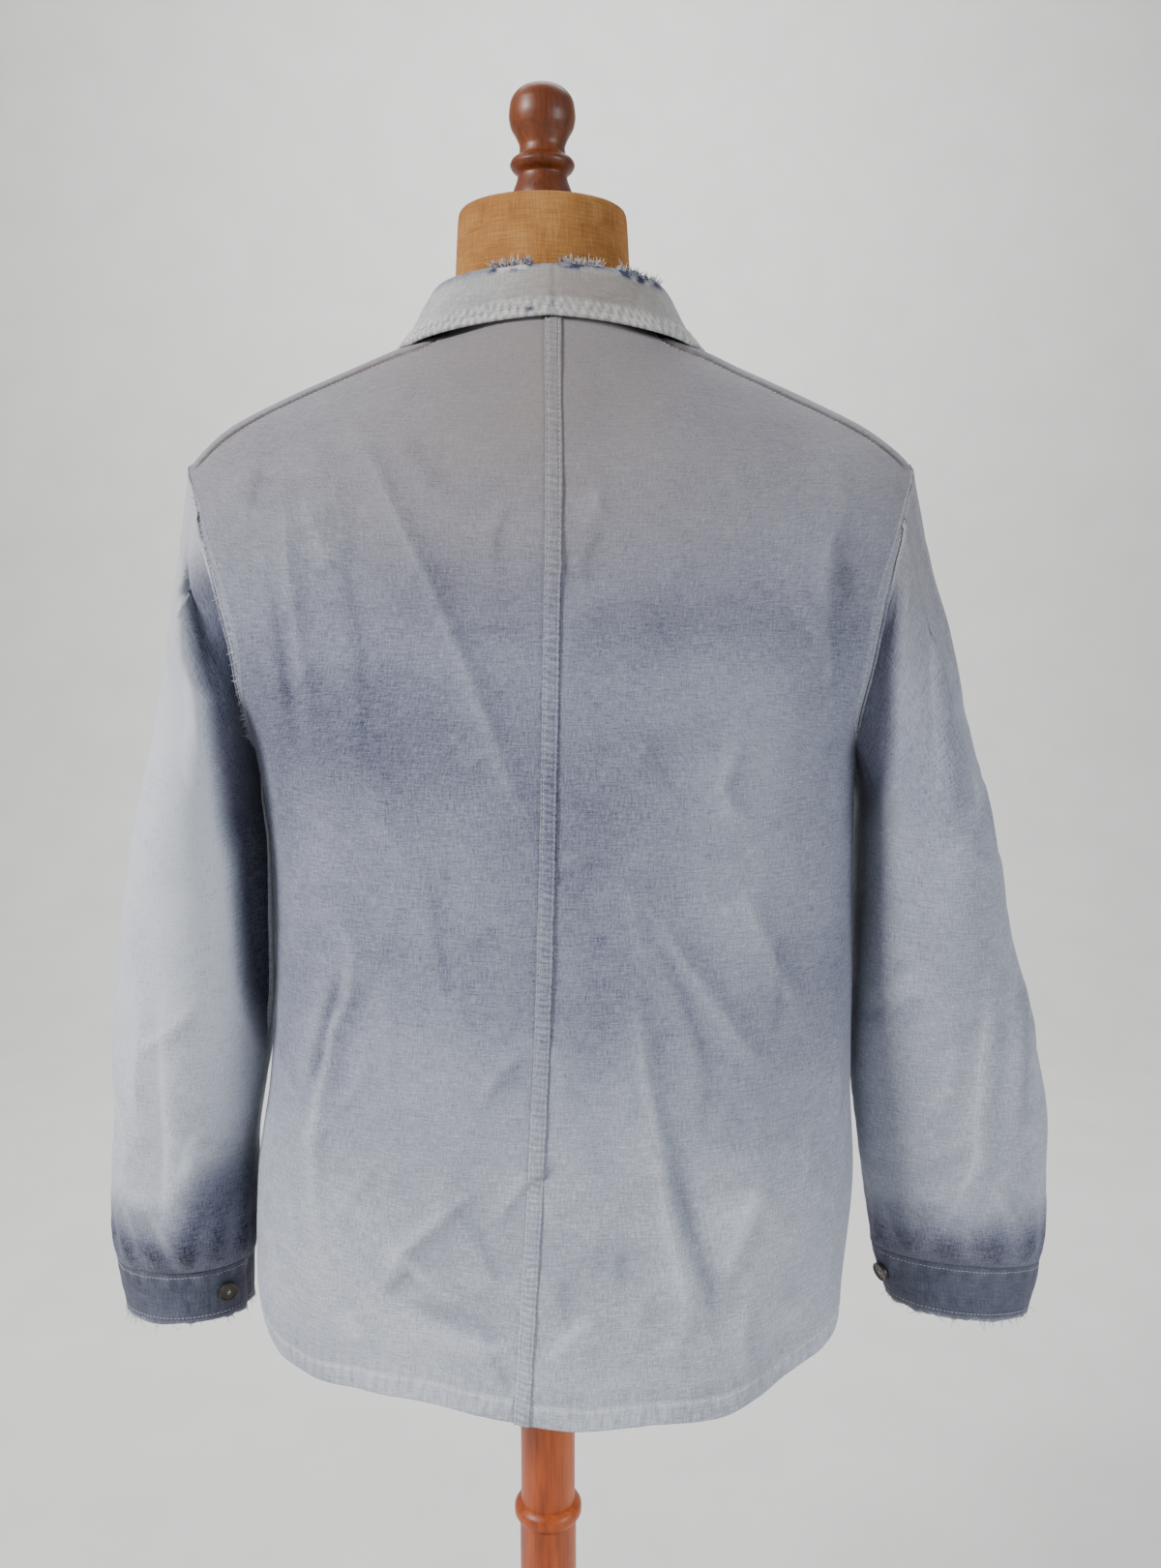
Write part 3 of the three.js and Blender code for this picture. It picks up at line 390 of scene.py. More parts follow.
def shell(name, outer, inner, wraps=False, finish=None, painted=None):
    """A closed thin piece between two grids of points, with a rounded rim."""
    rows, count = outer.shape[:2]
    spans = count if wraps else count - 1
    top = rows - 1
    j, i = np.meshgrid(np.arange(top), np.arange(spans), indexing="ij")
    corners = [(j, i), (j, i + 1), (j + 1, i + 1), (j + 1, i)]
    at = lambda layer, row, column: layer * rows * count + row * count + column % count
    quads = [np.stack([at(0, *c) for c in corners], -1).reshape(-1, 4)]
    quads.append(np.stack([at(1, *c) for c in corners[::-1]], -1).reshape(-1, 4))
    spots = [np.stack([np.stack(c, -1) for c in corners], -2).reshape(-1, 4, 2)]
    spots.append(spots[0][:, ::-1])
    if wraps:
        run = np.arange(spans + 1)
        loops = [[(0, k) for k in run], [(top, k) for k in run[::-1]]]
    else:
        last = count - 1
        around = [(0, k) for k in range(last)] + [(k, last) for k in range(top)]
        around += [(top, k) for k in range(last, 0, -1)] + [(k, 0) for k in range(top, -1, -1)]
        loops = [around]
    points = [outer.reshape(-1, 3), inner.reshape(-1, 3)]
    source = [np.arange(rows * count), np.arange(rows * count)]
    made = 2 * rows * count
    for loop in loops:
        place = np.array(loop)
        row, column = place[:-1, 0], place[:-1, 1] % count
        inwards = (np.clip(row, 1, top - 1), column if wraps else np.clip(column, 1, count - 2))
        middle = (outer[row, column] + inner[row, column]) / 2
        thick = np.linalg.norm(outer[row, column] - inner[row, column], axis=-1, keepdims=True)
        points.append(middle + unit(outer[row, column] - outer[inwards]) * thick * 0.32)
        source.append(row * count + column)
        size = len(row)
        here, there = np.arange(size), (np.arange(size) + 1) % size
        own = made + here, made + there
        edge_a = at(0, place[:-1, 0], place[:-1, 1]), at(0, place[1:, 0], place[1:, 1])
        edge_b = edge_a[0] + rows * count, edge_a[1] + rows * count
        quads.append(np.stack([edge_a[1], edge_a[0], own[0], own[1]], -1))
        quads.append(np.stack([own[1], own[0], edge_b[0], edge_b[1]], -1))
        spot = np.stack([place[1:], place[:-1], place[:-1], place[1:]], axis=1)
        spots += [spot, spot]
        made += size
    points, quads = np.concatenate(points), np.concatenate(quads)
    spots, source = np.concatenate(spots), np.concatenate(source)
    a, b, c, d = (points[quads[:, k]] for k in range(4))
    volume = np.sum(a * np.cross(b, c)) + np.sum(a * np.cross(c, d))
    if volume < 0:
        quads, spots = quads[:, ::-1], spots[:, ::-1]
    mesh = bpy.data.meshes.new(name)
    mesh.from_pydata((points * MM).tolist(), [], quads.tolist())
    cloth = cloth_map(outer, wraps) * MM
    layer = mesh.uv_layers.new(name="cloth")
    layer.data.foreach_set("uv", cloth[spots[..., 0], spots[..., 1]].reshape(-1).astype(np.float32))
    for key, values in (painted or {}).items():
        drawn = mesh.attributes.new(key, "FLOAT", "POINT")
        drawn.data.foreach_set("value", values.reshape(-1)[source].astype(np.float32))
    mesh.polygons.foreach_set("use_smooth", np.ones(len(quads), bool))
    mesh.update()
    piece = bpy.data.objects.new(name, mesh)
    bpy.context.scene.collection.objects.link(piece)
    if finish:
        mesh.materials.append(finish.material)
    return piece


def settle(piece, slot, *nodes):
    """The piece rides on the one body and stands for its CAD nodes, which are hidden. The slot is not used."""
    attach(piece, "root")
    if nodes:
        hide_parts(*nodes)
    return piece


# %% Folds and rumples
def near_line(line, x, z):
    """How far points lie from a line in the back view, their share along it, and their side of it."""
    line = np.array(line, float)
    run = lengths(line[None])[0]
    nearest, share, side = np.full(np.shape(x), 1e9), np.zeros(np.shape(x)), np.zeros(np.shape(x))
    for k, ((ax, az), (bx, bz)) in enumerate(zip(line, line[1:])):
        dx, dz = bx - ax, bz - az
        t = np.clip(((x - ax) * dx + (z - az) * dz) / (dx * dx + dz * dz), 0, 1)
        far = np.hypot(x - ax - t * dx, z - az - t * dz)
        closer = far < nearest
        nearest = np.where(closer, far, nearest)
        share = np.where(closer, mix(run[k], run[k + 1], t) / run[-1], share)
        turn = ((x - ax) * dz - (z - az) * dx) / (math.hypot(dx, dz) * np.maximum(far, 0.01))
        side = np.where(closer, np.clip(turn, -1, 1), side)
    return nearest, share, side


def fold_height(folds, x, z):
    """Height of a list of folds. Each has a crisp crest, steep on one side and broad on the other."""
    height = np.zeros(np.shape(x))
    for width, rise, line in folds:
        far, share, side = near_line(line, x, z)
        side = side * np.sign(rise)
        reach = width * np.where(side > 0, 1 + 1.9 * side, 1 + 0.3 * side)
        crest = np.exp(-(np.hypot(far, 0.9) - 0.9) / (0.4 * reach))
        foot = np.exp(-((far / reach) ** 2))
        ends = 0.15 + 0.85 * ease(share / 0.3) * ease((1 - share) / 0.35)
        height += rise * ends * (0.5 * crest + 0.5 * foot)
    return height


def scattered(seed, count, low, high):
    """Small creases at random places of the back view, as pressed in by wearing and packing."""
    rng = np.random.default_rng(seed)
    folds = []
    for _ in range(count):
        start = rng.uniform(low, high)
        lean, length, bow = rng.normal(np.pi / 2, 0.55), rng.uniform(25, 85), rng.uniform(-9, 9)
        ahead = np.array([math.cos(lean), -math.sin(lean)])
        middle = start + ahead * length / 2 + np.array([-ahead[1], ahead[0]]) * bow
        folds.append((rng.uniform(3.5, 7), rng.choice([-1, 1]) * rng.uniform(0.5, 1.4),
                      [tuple(start), tuple(middle), tuple(start + ahead * length)]))
    return folds


def rumple(points, size, seed):
    """Smooth random values from -1 to 1 that change over about size millimetres."""
    grid = np.random.default_rng(seed).uniform(-1, 1, (48, 48, 48))
    place = points / size + 20.0
    low = np.floor(place).astype(int)
    s = place - low
    s = s * s * (3 - 2 * s)
    value = np.zeros(points.shape[:-1])
    for corner in range(8):
        step = np.array([corner & 1, corner >> 1 & 1, corner >> 2 & 1])
        weight = np.prod(np.where(step == 1, s, 1 - s), axis=-1)
        i, j, k = np.moveaxis((low + step) % 48, -1, 0)
        value += weight * grid[i, j, k]
    return value


def crumple(points, size, seed):
    """Like rumple, with creases where it changes sign, as in cloth that lay folded."""
    return 0.5 - np.abs(rumple(points, size, seed)) * 1.6


def blurred(values, steps):
    for _ in range(steps):
        for axis in (0, 1):
            wide = np.concatenate([values.take([0], axis), values, values.take([-1], axis)], axis)
            n = values.shape[axis]
            values = (wide.take(range(n), axis) + 2 * values + wide.take(range(2, n + 2), axis)) / 4
    return values


def worn_from(height, steps=24, strength=0.55):
    """Ridges rub pale and troughs keep their dye: a value round 0 from a height map."""
    return np.clip((height - blurred(height, steps)) * strength, -1, 1)


print("cloth helpers ready")

# %% [markdown]
# ## The faded cotton
#
# The cloth is a light plain-woven work cotton, once blue, that sun and washing have faded
# unevenly. Threads of slightly different thickness give it a fine mottle. Ridges and stitched
# edges have rubbed almost white, the upper back is dusty and warm, and cloth that was turned
# under kept its blue. Painted shade darkens the hollows beside the sleeves, the shoulder seams'
# grooves and the body's sides, and painted light makes the lower back and the left sleeve paler.
# The weave follows the cloth's own map, the soft patches follow the jacket, and what was painted
# on the mesh says where each piece is faded and worn and where light and shade are painted.
# %% Cotton
def cotton(name, deep, dark, blue, faded, pale, dust=(140, 128, 119), thread=1.0):
    finish = Finish(name, Roughness=0.9, Sheen_Weight=0.12, Sheen_Roughness=0.6, Specular_IOR_Level=0.2)
    cloth = finish.node("ShaderNodeUVMap", {"uv_map": "cloth"})
    place = finish.object_place()
    warp = finish.noise(finish.stretched(cloth, (1050, 110, 1)), detail=3.0, rough=0.65)
    weft = finish.noise(finish.stretched(cloth, (100, 1150, 1)), detail=3.0, rough=0.65)
    slub = finish.noise(finish.stretched(cloth, (40, 600, 1)), detail=2.0)
    speck = finish.noise(finish.stretched(cloth, (620, 620, 1)), detail=2.0, rough=0.7)
    weave = (warp - 0.5) * 0.8 + (weft - 0.5) * 0.8 + (speck - 0.5) * 0.7
    patch = finish.noise(place, 7.0, 3.0, 0.55)
    cloud = finish.noise(place, 24.0, 3.0, 0.6)
    fade = finish.attribute("fade")
    tone = fade + (patch - 0.5) * 0.24 + (cloud - 0.5) * 0.14
    tone = tone + (weave * 0.74 + (slub - 0.5) * 0.2) * thread
    colour = finish.ramp(tone.within(), [
        (0.0, paint(*deep)), (0.16, paint(*dark)), (0.36, paint(*blue)),
        (0.68, paint(*faded)), (1.0, paint(*pale))])
    dusty = finish.blend((finish.attribute("dust") * (0.72 + cloud * 0.5)).within(), colour,
                         finish.blend(0.74, colour, paint(*dust)))
    finish.feed(finish.shader.inputs["Base Color"], dusty)
    finish.feed(finish.shader.inputs["Roughness"], (0.86 + weave * 0.12).within(0.7, 1.0))
    pucker = finish.attribute("pucker")
    gathers = finish.noise(finish.stretched(cloth, (240, 60, 1)), detail=1.0)
    finish.relief(weave * 0.5 + (cloud - 0.5) * 0.5 + (gathers - 0.5) * pucker * 6.0, 0.0005, 0.55)
    return finish


BODY_COTTON = cotton("faded_blue_cotton", (14, 15, 28), (86, 90, 112), (122, 126, 146),
                     (166, 172, 186), (216, 221, 232))
EDGE_COTTON = cotton("worn_edge_cotton", (40, 46, 84), (92, 98, 126), (132, 135, 148),
                     (172, 174, 178), (222, 220, 214))
CUFF_COTTON = cotton("blue_cuff_cotton", (30, 32, 50), (62, 66, 86), (84, 88, 106),
                     (112, 117, 134), (180, 184, 194))
print("three cottons")

# %% [markdown]
# ## Back and fronts
#
# Each half of the back is cut as one panel, from the centre seam round to the side. The rows of
# the mesh run as the weft does, low and level at the hem and turning up along the armhole and
# the shoulder. The folds are listed: a few long pulls from the shoulders, short
# pressed-in creases at the waist and above the hem. The fronts don't show in the photograph, so
# they get folds of the same kind.
# %% Folds of the body
BACK_FOLDS = [  # width, height, points (x, level)
    (9, 3.0, [(-121, 1388), (-96, 1342), (-70, 1289), (-47, 1235), (-23, 1173), (-5, 1117)]),
    (14, -3.0, [(-140, 1379), (-132, 1342), (-121, 1295), (-113, 1241), (-115, 1180)]),
    (8, 2.0, [(-134, 1359), (-126, 1324), (-123, 1289)]),
    (9, -1.6, [(-87, 1382), (-69, 1359), (-45, 1336)]),
    (12, -2.2, [(-181, 1365), (-187, 1330)]),
    (11, -3.4, [(-175, 1295), (-170, 1265), (-167, 1216), (-165, 1180)]),
    (9, 2.6, [(-164, 1347), (-160, 1289), (-154, 1216), (-151, 1167)]),
    (10, 3.4, [(197, 1336), (185, 1312), (180, 1289), (185, 1241), (188, 1204)]),
    (8, -2.0, [(194, 1306), (198, 1265)]),
    (7, 2.0, [(130, 1186), (117, 1158), (123, 1142), (144, 1126)]),
    (6, -1.2, [(66, 1192), (88, 1155)]),
    (7, -1.8, [(-73, 1111), (-68, 1072), (-62, 1033), (-53, 994)]),
    (8, 4.4, [(-140, 1069), (-125, 1046), (-129, 1014), (-143, 987), (-152, 940), (-156, 906), (-160, 844)]),
    (9, -4.6, [(-132, 1036), (-146, 994), (-156, 954), (-163, 926)]),
    (8, 2.0, [(-9, 987), (-28, 970), (-45, 943)]),
    (10, 3.4, [(-39, 896), (-72, 865), (-92, 844), (-110, 815)]),
    (8, -2.4, [(-85, 830), (-109, 800)]),
    (7, 1.8, [(-3, 903), (-19, 885), (-33, 865)]),
    (8, -2.0, [(-47, 865), (-33, 837), (-25, 812)]),
    (9, -3.2, [(-92, 805), (-66, 794), (-40, 787), (-17, 773)]),
    (8, -2.2, [(-35, 776), (-27, 758), (-21, 740)]),
    (8, 2.2, [(-137, 794), (-123, 765)]),
    (9, 3.0, [(67, 1083), (89, 1050), (115, 1010), (138, 977), (154, 947)]),
    (9, -2.6, [(72, 1068), (89, 1033), (105, 994), (116, 947)]),
    (9, 3.6, [(61, 1027), (67, 974), (78, 920), (84, 872), (97, 815), (103, 744)]),
    (10, -3.6, [(81, 913), (99, 858), (113, 815), (122, 765)]),
    (10, 2.6, [(129, 1095), (148, 1049), (180, 979)]),
    (9, 2.6, [(148, 887), (134, 844), (123, 809)]),
    (7, -1.6, [(53, 847), (56, 815)]),
    (9, 2.0, [(-1, 767), (19, 787), (38, 805)]),
]
FRONT_FOLDS = [
    (14, 3.6, [(-118, 1352), (-98, 1300), (-84, 1240), (-70, 1160)]),
    (15, -3.6, [(-160, 1300), (-150, 1230), (-140, 1150)]),
    (13, 3.6, [(130, 1345), (108, 1290), (96, 1215)]),
    (14, -3.6, [(160, 1290), (158, 1220), (166, 1150)]),
    (11, 3.6, [(-60, 1080), (-86, 1010), (-96, 950)]),
    (11, 3.4, [(70, 1100), (92, 1030), (120, 985)]),
    (14, -3.6, [(-150, 1060), (-158, 1000), (-150, 960)]),
    (9, -2.4, [(40, 1240), (70, 1190), (120, 1165)]),
    (8, 2.2, [(-50, 900), (-90, 850), (-120, 800)]),
    (9, -2.4, [(150, 900), (120, 850), (100, 790)]),
]
BACK_FOLDS += scattered(17, 64, (-205, 790), (215, 1385))
FRONT_FOLDS += scattered(18, 50, (-205, 790), (215, 1385))
print(len(BACK_FOLDS), "folds on the back,", len(FRONT_FOLDS), "on the fronts")

# %% Rows and grids of the panels
WALL, SEAM_GAP, HEM_DEPTH, HEM_EXTRA = 1.6, 0.3, 17, 1.1
FRONT_X, OVERLAP, LAP_EASE = 6, 20, 44
LAP_DROP = WALL + HEM_EXTRA + 0.6
SHOULDER_SEAM = 8.5
TIP_NORMAL = (0.67, 0.0, 0.74)
ARMHOLE_ROWS, SHOULDER_ROWS = 72, 36
PANEL_COLUMNS = {"back": 121, "front": 91}


def row_levels():
    """Levels of the rows at the side edge: up the side, the armhole and the shoulder seam."""
    hem = np.linspace(HEM_SIDE, HEM_SIDE + 24, 17)[:-1]
    side = np.linspace(HEM_SIDE + 24, ARMPIT, 131)
    turn = np.pi * np.arange(1, ARMHOLE_ROWS + 1) / ARMHOLE_ROWS
    arm = (ARMPIT + TIP) / 2 - (TIP - ARMPIT) / 2 * np.cos(turn)
    levels = np.linspace(TIP, NECK_SIDE, 400)
    run = lengths(body_point("back", -1 + 0 * levels, levels)[None])[0]
    shoulder = np.interp(np.linspace(0, run[-1], SHOULDER_ROWS + 1)[1:], run, levels)
    return np.concatenate([hem, side, arm, shoulder])


EDGE_LEVELS = row_levels()
ROWS = len(EDGE_LEVELS)
TIP_ROW = ROWS - 1 - SHOULDER_ROWS
ARMPIT_ROW = TIP_ROW - ARMHOLE_ROWS


def centre_levels(face):
    at_tip, top = (TIP - 4, NECK_BACK) if face == "back" else (TIP - 52, NECK_FRONT)
    low = EDGE_LEVELS[: ARMPIT_ROW + 1]
    below = mix(HEM_CENTRE, ARMPIT, (low - HEM_SIDE) / (ARMPIT - HEM_SIDE))
    arm = mix(ARMPIT, at_tip, np.arange(1, ARMHOLE_ROWS + 1) / ARMHOLE_ROWS)
    above = mix(at_tip, top, np.arange(1, SHOULDER_ROWS + 1) / SHOULDER_ROWS)
    return np.concatenate([below, arm, above])


def panel_grid(face, hand):
    side = "left" if hand < 0 else "right"
    level = centre_levels(face)
    centre = seam_line["x"](level) + hand * SEAM_GAP / 2 if face == "back" else FRONT_X - hand * OVERLAP + 0 * level
    row = np.arange(ROWS)
    in_armhole = (row > ARMPIT_ROW) & (row < TIP_ROW)
    edge = np.where(in_armhole, armhole[side](EDGE_LEVELS), body[side](EDGE_LEVELS))
    lift = ease((HEM_LIFT_TOP - level) / (HEM_LIFT_TOP - HEM_CENTRE))
    t = np.linspace(0, 1, 241)
    x = mix(centre[:, None], edge[:, None], np.sin(t * np.pi / 2))
    z = mix(level[:, None], EDGE_LEVELS[:, None], t * t) + lift[:, None] * hem_line["lift"](x)
    return evenly(body_point(face, np.clip(across_at(x, z), -1, 1), z), PANEL_COLUMNS[face])


print(ROWS, "rows, armpit at row", ARMPIT_ROW, "and shoulder tip at row", TIP_ROW)

# %% Painted values of the body
PATCHES = [  # x, level, half width, half height, how much paler (minus: bluer)
    (-46, 1277, 60, 26, -0.20), (110, 1265, 70, 24, -0.18), (-120, 1185, 65, 50, -0.30),
    (20, 1140, 60, 60, -0.16), (137, 1167, 40, 60, 0.16), (132, 1072, 45, 60, 0.12),
    (-57, 1359, 80, 50, 0.02), (-89, 974, 60, 60, 0.05), (52, 906, 70, 70, 0.10),
    (130, 871, 50, 60, 0.12), (-150, 837, 60, 50, 0.10), (0, 760, 230, 45, 0.16),
    # The tall narrow strips at x -185 and 215, along the sides, are painted darker: painted shade where the back
    # turns away.
    (-30, 1010, 60, 60, -0.05), (40, 1010, 25, 50, -0.12), (-185, 1100, 26, 160, -0.18),
    (215, 1000, 20, 200, -0.14), (-175, 1330, 40, 60, 0.02), (190, 1230, 30, 60, -0.06),
    (-100, 1100, 50, 50, -0.04), (180, 1330, 40, 50, 0.04), (60, 1215, 50, 20, 0.06),
]


def painted_patches(x, z):
    spots = [much * np.exp(-(((x - a) / w) ** 2) - ((z - b) / h) ** 2) for a, b, w, h, much in PATCHES]
    return 0.75 * sum(spots)


def dust_of(x, z):
    """Warm dust on the shoulders and the upper back, thinning downwards."""
    return 0.9 * ease((z - 1215) / 190) * (0.8 + 0.2 * np.cos(x / 60))


def line_bump(distance, width):
    return np.exp(-((distance / width) ** 2))


def body_panel(face, hand):
    grid = panel_grid(face, hand)
    sign = hand if face == "back" else -hand
    flat = normals_of(grid, sign)
    columns = grid.shape[1]
    x, z = grid[..., 0], grid[..., 2]
    row = np.arange(ROWS)[:, None] + np.zeros((1, columns))
    column = np.arange(columns)[None] + np.zeros((ROWS, 1))
    from_side = ease((1 - column / (columns - 1)) * 12 / 3)
    from_top = ease((ROWS - 1 - row) * 6 / SHOULDER_ROWS / 4)
    folds = fold_height(BACK_FOLDS if face == "back" else FRONT_FOLDS, x, z)
    soft = 0.9 * rumple(grid, 70, 11) + 0.9 * crumple(grid, 42, 12) + 0.4 * crumple(grid, 19, 13)
    low = ease((1000 - z) / 200)
    soft = soft * (0.75 + 0.5 * low)
    height = (1.35 * folds + soft * ease(column / 4)) * from_side * from_top
    # The turned hem: a stitched line, and gathers between it and the lower edge
    up = cloth_map(grid)[..., 1]
    along = cloth_map(grid)[..., 0]
    band = ease((HEM_DEPTH - up) / 2)
    stitch = line_bump(up - HEM_DEPTH + 1.2, 1.3)
    gather = np.sin(2 * np.pi * (along / 9.5 + 0.22 * rumple(grid, 16, 14)) + up * 0.16)
    height += band * (0.45 + 0.4 * gather * ease(up / 5)) - 0.55 * stitch
    height += 0.35 * gather * line_bump(up - HEM_DEPTH - 5, 5)
    # Armhole band and shoulder seam
    from_edge = lengths(grid)[:, -1:] - lengths(grid)
    arm = ((row > ARMPIT_ROW) & (row < TIP_ROW)) * ease((row - ARMPIT_ROW) / 6) * ease((TIP_ROW - row) / 6)
    height += arm * (0.5 * ease((11 - from_edge) / 2.5) - 0.35 * line_bump(from_edge - 9.2, 0.9))
    below_top, share, _ = near_line(grid[TIP_ROW:, -1][:, [0, 2]], x, z)
    on_shoulder = ease(share / 0.05) * ease(below_top / 3)
    groove = on_shoulder * line_bump(below_top - SHOULDER_SEAM, 1.0)
    height += on_shoulder * 0.9 * ease((SHOULDER_SEAM - below_top) / 1.5) - 0.9 * groove
    lap = LAP_DROP * (1 - ease((x - FRONT_X - OVERLAP - 4) / LAP_EASE)) * (face == "front" and hand > 0)
    outer = grid + flat * (height - lap)[..., None]
    normals = normals_of(outer, sign)
    edge_rows = (np.arange(ROWS) <= ARMPIT_ROW + 8) | (np.arange(ROWS) >= TIP_ROW)
    normals[edge_rows, -1, 1] = 0
    normals[TIP_ROW, -1] = np.array(TIP_NORMAL) * (hand, 1, 1)
    if face == "back":
        normals[:, 0, 0] = 0
    normals = unit(normals)
    closed = (np.arange(ROWS) <= ARMPIT_ROW) | (np.arange(ROWS) >= TIP_ROW)
    outer[closed, -1, 1] += (-1 if face == "back" else 1) * SEAM_GAP / 2
    thick = WALL + HEM_EXTRA * band
    inner = outer - normals * thick[..., None]
    worn = worn_from(height)
    # From a level of 1040 mm down, the back is painted paler towards the hem: painted light, for the brighter-lit
    # lower back.
    fade = 0.49 + painted_patches(x, z) + 0.13 * worn + 0.06 * band + 0.2 * ease((1040 - z) / 220)
    # The shoulder seam's groove is painted darker: painted shadow under the seam's step.
    fade += 0.22 * stitch + 0.08 * arm * ease((11 - from_edge) / 2.5) - 0.6 * groove
    fade += 0.04 * rumple(grid, 60, 15)
    if face == "front":
        fade += 0.06 * rumple(grid, 110, 16)
    painted = {
        "fade": fade,
        "dust": dust_of(x, z),
        "pucker": 0.9 * ease((HEM_DEPTH + 4 - up) / 6) + 0.5 * arm * ease((12 - from_edge) / 3),
    }
    return {"outer": outer, "inner": inner, "normals": normals, "flat": grid, "painted": painted, "up": up,
            "below_top": below_top}


panels, cloths = {}, {}
for face in ("back", "front"):
    for side, hand in (("left", -1), ("right", 1)):
        name = f"{face}_{side}"
        panels[name] = body_panel(face, hand)
        piece = shell(f"cloth_{name}", panels[name]["outer"], panels[name]["inner"],
                      finish=BODY_COTTON, painted=panels[name]["painted"])
        cloths[name] = settle(piece, "jacket_cotton", name)
        print(piece.name, len(piece.data.polygons), "faces")

# %% [markdown]
# ## Thread
#
# Every seam shows a row of pale stitches. A stitch is a short thread that dips into the cloth at
# both ends. One spindle of three rings is laid again and again along a line on the cloth, and
# all stitches of a seam are joined in one mesh, since thousands of objects would be slow.
# %% Stitches along a line
THREAD = Finish("cotton_thread", Roughness=0.8)
twist = THREAD.noise(THREAD.object_place(), 900.0, 2.0)
THREAD.feed(THREAD.shader.inputs["Base Color"], THREAD.ramp(twist, [
    (0.3, paint(168, 172, 182)), (0.7, paint(222, 222, 218))]))
THREAD.relief(twist, 0.0002, 0.5)


def stitch_row(line, normals, pitch=3.3, length=2.4, width=0.3, rise=0.34):
    """Points and faces of a row of stitches along a line of points on the cloth."""
    run = lengths(line[None])[0]
    middles = np.arange(pitch, run[-1] - pitch, pitch)
    rings = []
    for shift, size, up in ((-0.5, 0.55, -0.12), (0.0, 1.0, 1.0), (0.5, 0.55, -0.12)):
        at = middles + shift * length
        place = np.stack([np.interp(at, run, line[:, k]) for k in range(3)], -1)
        out = unit(np.stack([np.interp(at, run, normals[:, k]) for k in range(3)], -1))
        ahead = np.stack([np.interp(at + 0.5, run, line[:, k]) for k in range(3)], -1)
        side = unit(np.cross(ahead - place, out))
        place = place + out * rise * up
        rings.append([place + side * width * size, place + out * width * size * 0.8,
                      place - side * width * size, place - out * width * size * 0.8])
    points = np.stack([corner for ring in rings for corner in ring], axis=1).reshape(-1, 3)
    quads = [[r * 4 + k, r * 4 + (k + 1) % 4, r * 4 + 4 + (k + 1) % 4, r * 4 + 4 + k]
             for r in range(2) for k in range(4)]
    quads += [[3, 2, 1, 0], [8, 9, 10, 11]]
    faces = (np.arange(len(middles))[:, None, None] * 12 + np.array(quads)).reshape(-1, 4)
    return points, faces


def plain_mesh(name, parts, finish):
    """One mesh from several lists of points and faces."""
    points, faces, shift = [], [], 0
    for some_points, some_faces in parts:
        points.append(some_points)
        faces.append(np.asarray(some_faces) + shift)
        shift += len(some_points)
    mesh = bpy.data.meshes.new(name)
    mesh.from_pydata((np.concatenate(points) * MM).tolist(), [], np.concatenate(faces).tolist())
    mesh.polygons.foreach_set("use_smooth", np.ones(len(mesh.polygons), bool))
    mesh.materials.append(finish.material)
    piece = bpy.data.objects.new(name, mesh)
    bpy.context.scene.collection.objects.link(piece)
    deselect()
    piece.select_set(True)
    bpy.context.view_layer.objects.active = piece
    bpy.ops.object.mode_set(mode="EDIT")
    bpy.ops.mesh.select_all(action="SELECT")
    bpy.ops.mesh.normals_make_consistent(inside=False)
    bpy.ops.object.mode_set(mode="OBJECT")
    return piece


def on_grid(grid, row, column):
    """Values of a grid between its points, at fractional rows and columns."""
    j = np.clip(np.floor(row).astype(int), 0, grid.shape[0] - 2)
    i = np.clip(np.floor(column).astype(int), 0, grid.shape[1] - 2)
    s, t = (row - j)[..., None], (column - i)[..., None]
    low = mix(grid[j, i], grid[j, i + 1], t)
    return mix(low, mix(grid[j + 1, i], grid[j + 1, i + 1], t), s)


def stitched(name, runs, slot, **sizes):
    """A joined mesh of stitch rows. Each run is a line of points and their normals."""
    rows = [stitch_row(line, normals, **sizes) for line, normals in runs]
    piece = settle(plain_mesh(name, rows, THREAD), slot)
    print(name, len(piece.data.polygons), "faces")
    return piece


def hem_run(panel):
    """The hem's stitched line: where the cloth is HEM_DEPTH above its lower edge."""
    outer, up = panel["outer"], panel["up"]
    columns = np.arange(outer.shape[1], dtype=float)
    rows = np.interp(HEM_DEPTH - 1.2, up[:40, 0], np.arange(40.0)) + 0 * columns
    return on_grid(outer, rows, columns), on_grid(panel["normals"], rows, columns)


def armhole_run(panel, inset):
    """A line beside the armhole's edge, inset millimetres from it."""
    outer = panel["outer"]
    rows = np.arange(ARMPIT_ROW + 6, TIP_ROW - 2, dtype=float)
    run = lengths(outer)[rows.astype(int)]
    columns = np.array([np.interp(r[-1] - inset, r, np.arange(len(r))) for r in run])
    return on_grid(outer, rows, columns), on_grid(panel["normals"], rows, columns)


def shoulder_run(panel, inset):
    outer = panel["outer"]
    rows = np.arange(TIP_ROW + 3, ROWS - 1, dtype=float)
    columns = np.array([np.interp(-inset, -panel["below_top"][int(r), 40:], np.arange(40.0, outer.shape[1]))
                        for r in rows])
    return on_grid(outer, rows, columns), on_grid(panel["normals"], rows, columns)


stitches = {}
for name, panel in panels.items():
    runs = [hem_run(panel), armhole_run(panel, 9.2), armhole_run(panel, 3.2)]
    if name.startswith("back"):
        runs.append(shoulder_run(panel, SHOULDER_SEAM + 2))
    stitches[name] = stitched(f"stitches_{name}", runs, "jacket_cotton")

# %% [markdown]
# ## The felled seam
#
# The two back halves meet in a flat-felled seam: both edges are folded into each other and sewn
# down twice, which leaves a raised strip with a stitched groove near each side. Washing has
# shrunk the thread, so the strip is gathered into small ripples. It is a narrow strip of its own,
# laid over the joint.
# %% Felled seam
FELL_WIDTH = 10
STITCH_LINE = 3.5


